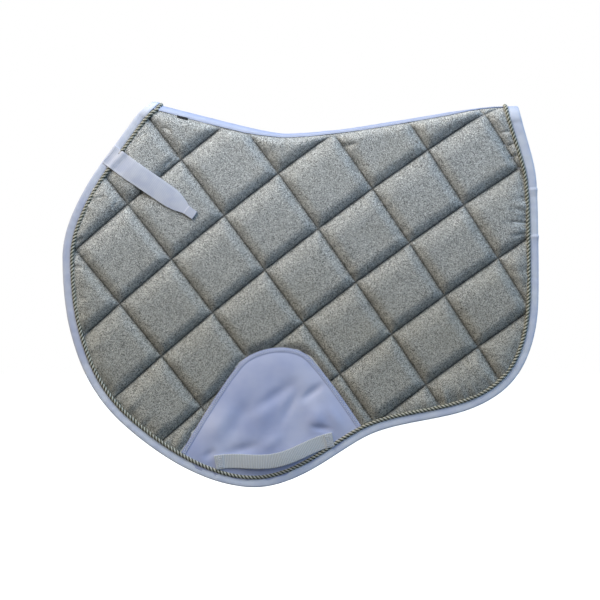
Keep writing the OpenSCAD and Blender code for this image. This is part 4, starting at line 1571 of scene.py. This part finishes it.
@dataclass
class BilletStrap:
    """The strap sewn at the front edge, with its closure tapes and folded end."""

    pad: Pad
    root: tuple = (-256.3, -25.8)
    root_angle: float = 43.7
    strap_angle: float = 35.7
    hinge_in: float = 25.2 * MM
    length: float = 154 * MM
    thickness: float = 1.3 * MM
    # Half widths above and below the middle line, at distances along, in mm
    stations: tuple = (-4, 40, 90, 112, 124, 134, 140, 154)
    upper: tuple = (15.4, 14.6, 15.6, 15.8, 13.2, 9.6, 6.6, 6.2)
    lower: tuple = (-15.6, -16.0, -14.4, -13.6, -11.6, -8.2, -6.2, -6.0)
    # How far the strap's underside stands off the CAD panel's face, at distances in from the edge, in mm
    lie_at: tuple = (-2, 6, 10, 12, 14.7, 17.5, 19.5, 23, 28, 36, 50, 70, 100, 130, 160)
    lie: tuple = (-1.0, -0.8, 0.2, 2.0, 3.2, 3.0, 2.4, 2.2, 3.2, 5.2, 6.4, 6.6, 6.4, 6.4, 7.2)

    def _frame(self) -> tuple[Array, Array, Array]:
        """The root's place, the strap's direction and the way across it."""
        cos, sin = slant(self.strap_angle)
        return np.array(self.root) * MM, np.array([cos, -sin]), np.array([sin, cos])

    @property
    def skew(self) -> float:
        """How far the root's line leans from square across the strap."""
        return math.tan(math.radians(self.root_angle - self.strap_angle))

    def _point(self, along: Array, across: Array, off: Array | float) -> Array:
        """A point of the strap, along and across it, off its underside."""
        root, run, side = self._frame()
        flat = root + along[:, None] * run + across[:, None] * side
        cos, sin = slant(self.root_angle)
        deep = (flat - root) @ np.array([cos, -sin])
        lie = np.interp(deep / MM, self.lie_at, self.lie) * MM
        noise = Noise(43)
        free = smooth((deep - 24 * MM) / (20 * MM))
        wave = 0.5 * MM * free * noise.at(along / 0.03 + 5, across / 0.03 + 9)
        cup = -0.8 * MM * free * (across / (15 * MM)) ** 2
        return np.stack([flat[:, 0], -(self.pad.shape.arch_r + lie + wave + cup + off), flat[:, 1]], axis=1)

    def _band(self, lo: float, hi: float, inset: float, under: float, over: float, step: float) -> Surface:
        """A closed band along the strap.

        Args:
            lo: Where it starts along the strap.
            hi: Where it ends.
            inset: How far in from the strap's edges it keeps.
            under: Its lower face, off the strap's underside.
            over: Its upper face.
            step: Distance between rows.

        Returns:
            The band, with rounded edges.
        """
        rows = max(3, int((hi - lo) / step))
        t = np.linspace(lo, hi, rows)
        top = np.interp(t / MM, self.stations, self.upper) * MM - inset
        bottom = np.interp(t / MM, self.stations, self.lower) * MM + inset
        count = 22
        w = 0.5 + 0.5 * np.sin(np.linspace(-math.pi / 2, math.pi / 2, count))
        across = bottom[:, None] + (top - bottom)[:, None] * w
        along = np.repeat(t[:, None], count, axis=1)
        edge = np.zeros(count)
        edge[[0, -1]] = 1
        depth = over - under
        upper = self._point(along.ravel(), across.ravel(), np.tile(over - 0.35 * depth * edge, rows))
        lower = self._point(along.ravel(), across.ravel(), np.tile(under + 0.2 * depth * edge, rows))
        faces = grid_faces(rows, count)
        cloth = np.stack([along.ravel(), across.ravel()], axis=1)
        return thick(Surface(upper, turned(upper, faces, OUT_LEFT), cloth), lower)

    def _stitch_lines(self) -> Surface:
        """Two rows across the root, one round the tab, and one down each edge."""
        over = self.thickness + 0.1 * MM
        across = np.linspace(-13.5, 13.2, 30) * MM
        lean = slant(self.root_angle - self.strap_angle)[0]
        starts = (19.6 * MM / lean, 23.2 * MM / lean, 2.2 * MM)
        rows = [(start + self.skew * across, across) for start in starts]
        small = np.linspace(-4.6, 4.8, 14) * MM
        rows += [(np.full(14, place), small) for place in (140.5 * MM, 151.5 * MM)]
        paths = [self._point(along, side, over) for along, side in rows]
        return joined(
            self.pad.stitch.row(path, np.tile(OUT_LEFT, (len(path), 1)), 2.3 * MM, 0.7 * MM, 0.26 * MM)
            for path in paths
        )

    def build(self) -> None:
        """Makes the strap, its tapes, tab and stitches on both sides."""
        wardrobe = self.pad.wardrobe
        strap = self._band(0.3 * MM, self.length, 0, 0, self.thickness, 1.6 * MM)
        tab = self._band(139 * MM, self.length + 0.6 * MM, -0.4 * MM, -0.5 * MM, self.thickness + 0.8 * MM, 1.2 * MM)
        hook = self._band(88 * MM, 112 * MM, 4 * MM, -0.9 * MM, -0.02 * MM, 1.5 * MM)
        pile = self._band(36 * MM, 82 * MM, 4 * MM, -1.0 * MM, -0.02 * MM, 1.5 * MM)
        stitches = self._stitch_lines()
        root = self._frame()[0]
        cos, sin = slant(self.root_angle)
        inward = np.array([cos, -sin])
        for side in Side:
            word = side.word
            flap, body = f"{word}_flap", f"{word}_strap"
            y = side.value * 21.4 * MM
            ends = [root + inward * (self.hinge_in + d) for d in (-1.5 * MM, 9 * MM)]
            start, end = ((e[0], y, e[1]) for e in ends)
            for name, surface, material, slot, nodes, bends in (
                ("woven_strap", strap, wardrobe.strap, "strap_webbing",
                 ["strap_root", "billet_strap"], True),
                ("strap_stitches", stitches, wardrobe.thread, "sewing_thread", ["root_stitching"], True),
                ("folded_tab", tab, wardrobe.strap, "strap_webbing", ["strap_tab"], False),
                ("hook_patch", hook, wardrobe.hook, "hook_tape", ["hook_tape"], False),
                ("pile_patch", pile, wardrobe.pile, "loop_tape", ["loop_tape"], False),
            ):
                piece = to_object(f"{word}_{name}", surface, side)
                dress(piece, material, slot)
                if bends:
                    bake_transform(piece)
                    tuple(start)
                    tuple(end)
                else:
                    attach(piece, body)
                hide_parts(*[f"{word}_{n}" for n in nodes])
                log.info("%s: %d faces", piece.name, len(piece.data.polygons))


@dataclass
class Spine:
    """The tape over the ridge seam, the one inside it, their stitches and the care label."""

    pad: Pad
    inner_half: float = 11 * MM
    label: tuple = (-157, -141)

    def _half(self, x: Array) -> Array:
        """The tape's half width at x."""
        noise = Noise(53)
        return self.pad.shape.tape(x) + 0.5 * MM * noise.at(x / 0.05 + 8, 2.2)

    def _strip(self, half: Callable[[Array], Array], off: float, t: float, outer: bool, end_in: float) -> Surface:
        """A closed strip over the ridge, the same on both sides of it."""
        shape, noise = self.pad.shape, Noise(59)
        x = np.arange(-0.195 + end_in, 0.341 - end_in, 2.5 * MM)
        count = 21
        w = np.sin(np.linspace(-math.pi / 2, math.pi / 2, count))
        xx = np.repeat(x, count)
        ss = (half(x)[:, None] * w).ravel()
        depth = np.abs(ss)
        thickness = shape.thickness(depth)
        crease = 0.22 * MM * noise.at(xx / 0.007 + 4, ss / 0.012 + 7) + 0.3 * MM * noise.at(xx / 0.03, ss / 0.02 + 20)
        edge = np.tile((np.abs(w) > 0.985).astype(float), len(x))
        level = off + crease * 0.8
        if not outer:
            level = -thickness - off - crease * 0.5
        sign = np.where(ss < 0, -1.0, 1.0)
        step = t * (1 - 0.4 * edge) * (1 if outer else -1)
        layers = []
        for extra in (step, 0.0):
            p = shape.place(xx, depth, level + extra)
            p[:, 1] *= sign
            layers.append(p)
        faces = grid_faces(len(x), count)
        faces = turned(layers[0], faces, (0, 0, 1 if outer else -1))
        return thick(Surface(layers[0], faces, np.stack([xx, ss], axis=1)), layers[1])

    def _edge_stitches(self) -> Surface:
        """A row along each edge of the tape."""
        shape = self.pad.shape
        x = np.arange(-0.178, 0.322, 3 * MM)
        s = self._half(x) - 2.2 * MM
        rows = []
        for side in Side:
            mirror = (1, -side.value, 1)
            path, normals = shape.place(x, s, 1.25 * MM) * mirror, shape.normal(s) * mirror
            rows.append(self.pad.stitch.row(path, normals, 2.6 * MM, 0.8 * MM, 0.25 * MM))
        return joined(rows)

    def _label(self) -> Surface:
        """The label's free lip, below the tape's edge on the left."""
        shape = self.pad.shape
        x = np.linspace(self.label[0] * MM, self.label[1] * MM, 16)
        w = np.linspace(0, 1, 12)
        xx, ww = np.meshgrid(x, w, indexing="ij")
        xx, ww = xx.ravel(), ww.ravel()
        s = self._half(xx) - 3.5 * MM + 7.1 * MM * ww
        off = 0.25 * MM + 0.9 * MM * ww
        front = shape.place(xx, s, off + 0.35 * MM)
        back = shape.place(xx, s, off)
        faces = grid_faces(16, 12)
        faces = turned(front, faces, shape.normal(s[faces[:, 0]]))
        return thick(Surface(front, faces, np.stack([xx, s], axis=1)), back)

    def build(self) -> None:
        """Makes the spine's pieces."""
        wardrobe = self.pad.wardrobe
        outer = self._strip(self._half, 0.1 * MM, 0.9 * MM, True, 3 * MM)
        inner = self._strip(lambda x: np.full_like(x, self.inner_half), 0.1 * MM, 0.8 * MM, False, 6 * MM)
        for name, surface, material, slot, nodes in (
            ("ridge_tape", outer, wardrobe.tape, "binding_fabric", ["spine_tape"]),
            ("ridge_lining_tape", inner, wardrobe.tape, "binding_fabric", ["spine_lining_tape"]),
            ("ridge_stitches", self._edge_stitches(), wardrobe.thread, "sewing_thread", []),
            ("label_lip", self._label(), wardrobe.label, "label_fabric", ["care_label"]),
        ):
            piece = to_object(name, surface)
            dress(piece, material, slot)
            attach(piece, "spine")
            if nodes:
                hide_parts(*nodes)
            log.info("%s: %d faces", piece.name, len(piece.data.polygons))


# -------------------------------------------------------------------------------------------- the studio


@dataclass
class Studio:
    """The camera, the lights and a plain pale floor."""

    view_width: float = 0.8716
    middle: tuple = (0.0218, -0.238)
    distance: float = 3.0
    front: float = -0.020
    floor_z: float = -0.60
    sky: float = 1.16
    zenith: float = 0.62
    ground: float = 0.06

    def camera(self) -> None:
        """Looks straight at the left side."""
        data = bpy.data.cameras.new("studio_camera")
        data.lens = data.sensor_width * self.distance / self.view_width
        made = bpy.data.objects.new("studio_camera", data)
        made.location = (self.middle[0], self.front - self.distance, self.middle[1])
        made.rotation_euler = (math.pi / 2, 0, 0)
        bpy.context.scene.collection.objects.link(made)
        bpy.context.scene.camera = made

    def _area(self, name: str, place: Vector, aim: Vector, size: float, power: float, tone: Colour) -> None:
        """Adds one soft square light."""
        data = bpy.data.lights.new(name, "AREA")
        data.size, data.energy, data.color = size, power, tone
        made = bpy.data.objects.new(name, data)
        made.location = place
        made.rotation_euler = (aim - place).to_track_quat("-Z", "Y").to_euler()
        bpy.context.scene.collection.objects.link(made)

    def lights(self) -> None:
        """A bright sky overhead, cooler to the right and warmer to the left, and soft lights above."""
        aim = Vector((0.02, 0, -0.20))
        self._area("overhead", Vector((-0.38, -0.66, 0.88)), aim, 0.8, 8.4, (1.0, 0.985, 0.96))
        self._area("back", Vector((0.2, 1.3, 1.3)), aim, 1.2, 12, (1.0, 0.99, 0.97))
        world = bpy.data.worlds.new("soft_sky")
        world.use_nodes = True
        tree = world.node_tree
        nodes = {"lit": tree.nodes["Background"], "out": tree.nodes["World Output"]}
        for name, kind in (
            ("way", "TexCoord"), ("split", "SeparateXYZ"), ("up", "MapRange"), ("across", "MapRange"), ("tone", "Mix"),
            ("seen", "Background"), ("path", "LightPath"), ("mix", "MixShader"), ("high", "MapRange"),
            ("strength", "Math"),
        ):
            nodes[name] = tree.nodes.new(f"ShaderNode{kind}")
        nodes["up"].interpolation_type = nodes["high"].interpolation_type = "SMOOTHSTEP"
        nodes["strength"].operation = "MULTIPLY"
        nodes["tone"].data_type = "RGBA"
        for name, key, value in (
            ("up", "From Min", -0.25), ("up", "From Max", 0.40), ("up", "To Min", self.ground),
            ("up", "To Max", self.sky), ("high", "From Min", 0.5), ("high", "From Max", 1.0), ("high", "To Min", 1.0),
            ("high", "To Max", self.zenith), ("across", "From Min", -0.6), ("across", "From Max", 0.6),
            ("tone", 6, (1.0, 0.89, 0.70, 1)), ("tone", 7, (0.42, 0.72, 1.10, 1)), ("seen", "Color", (1, 1, 1, 1)),
        ):
            nodes[name].inputs[key].default_value = value
        for giver, output, taker, entry in (
            ("way", "Generated", "split", 0), ("split", "Z", "up", "Value"), ("split", "X", "across", "Value"),
            ("across", 0, "tone", 0), ("tone", 2, "lit", "Color"), ("split", "Z", "high", "Value"),
            ("up", 0, "strength", 0), ("high", 0, "strength", 1), ("strength", 0, "lit", "Strength"),
            ("path", "Is Camera Ray", "mix", 0), ("lit", 0, "mix", 1), ("seen", 0, "mix", 2), ("mix", 0, "out", 0),
        ):
            tree.links.new(nodes[giver].outputs[output], nodes[taker].inputs[entry])
        bpy.context.scene.world = world

    def floor(self) -> None:
        """A wide white floor below the hanging pad."""
        bpy.ops.object.select_all(action="DESELECT")
        bpy.ops.mesh.primitive_plane_add(size=14, location=(0, 0, self.floor_z))
        made = bpy.context.object
        made.name = "studio_floor"
        bpy.ops.object.transform_apply(location=True)
        finish = Finish("pale_floor", roughness=0.9, specular=0.1)
        grain = finish.noise(finish.place(), 3, 2)
        finish.shader.inputs["Emission Color"].default_value = (1, 1, 1, 1)
        finish.shader.inputs["Emission Strength"].default_value = 0.55
        made.data.materials.append(finish.finish(finish.mix(grain, (0.90, 0.90, 0.90), (0.93, 0.93, 0.93))))
        made.visible_diffuse = made.visible_glossy = False

    def build(self) -> None:
        """Sets the whole studio up."""
        self.camera()
        self.lights()
        self.floor()
        bpy.context.scene.view_settings.view_transform = "Standard"


def main() -> None:
    """Builds the pad round its frame."""
    logging.basicConfig(level=logging.INFO, format="%(name)s: %(message)s")
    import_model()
    Studio().build()
    patch = PatchShape()
    pad = Pad(PadShape(), Quilting(), Wardrobe(), ThreadStitch())
    QuiltedSide(pad, patch).build()
    Edging(pad).build()
    GirthPatch(pad, patch).build()
    BilletStrap(pad).build()
    Spine(pad).build()


if __name__ == "__main__":
    main()
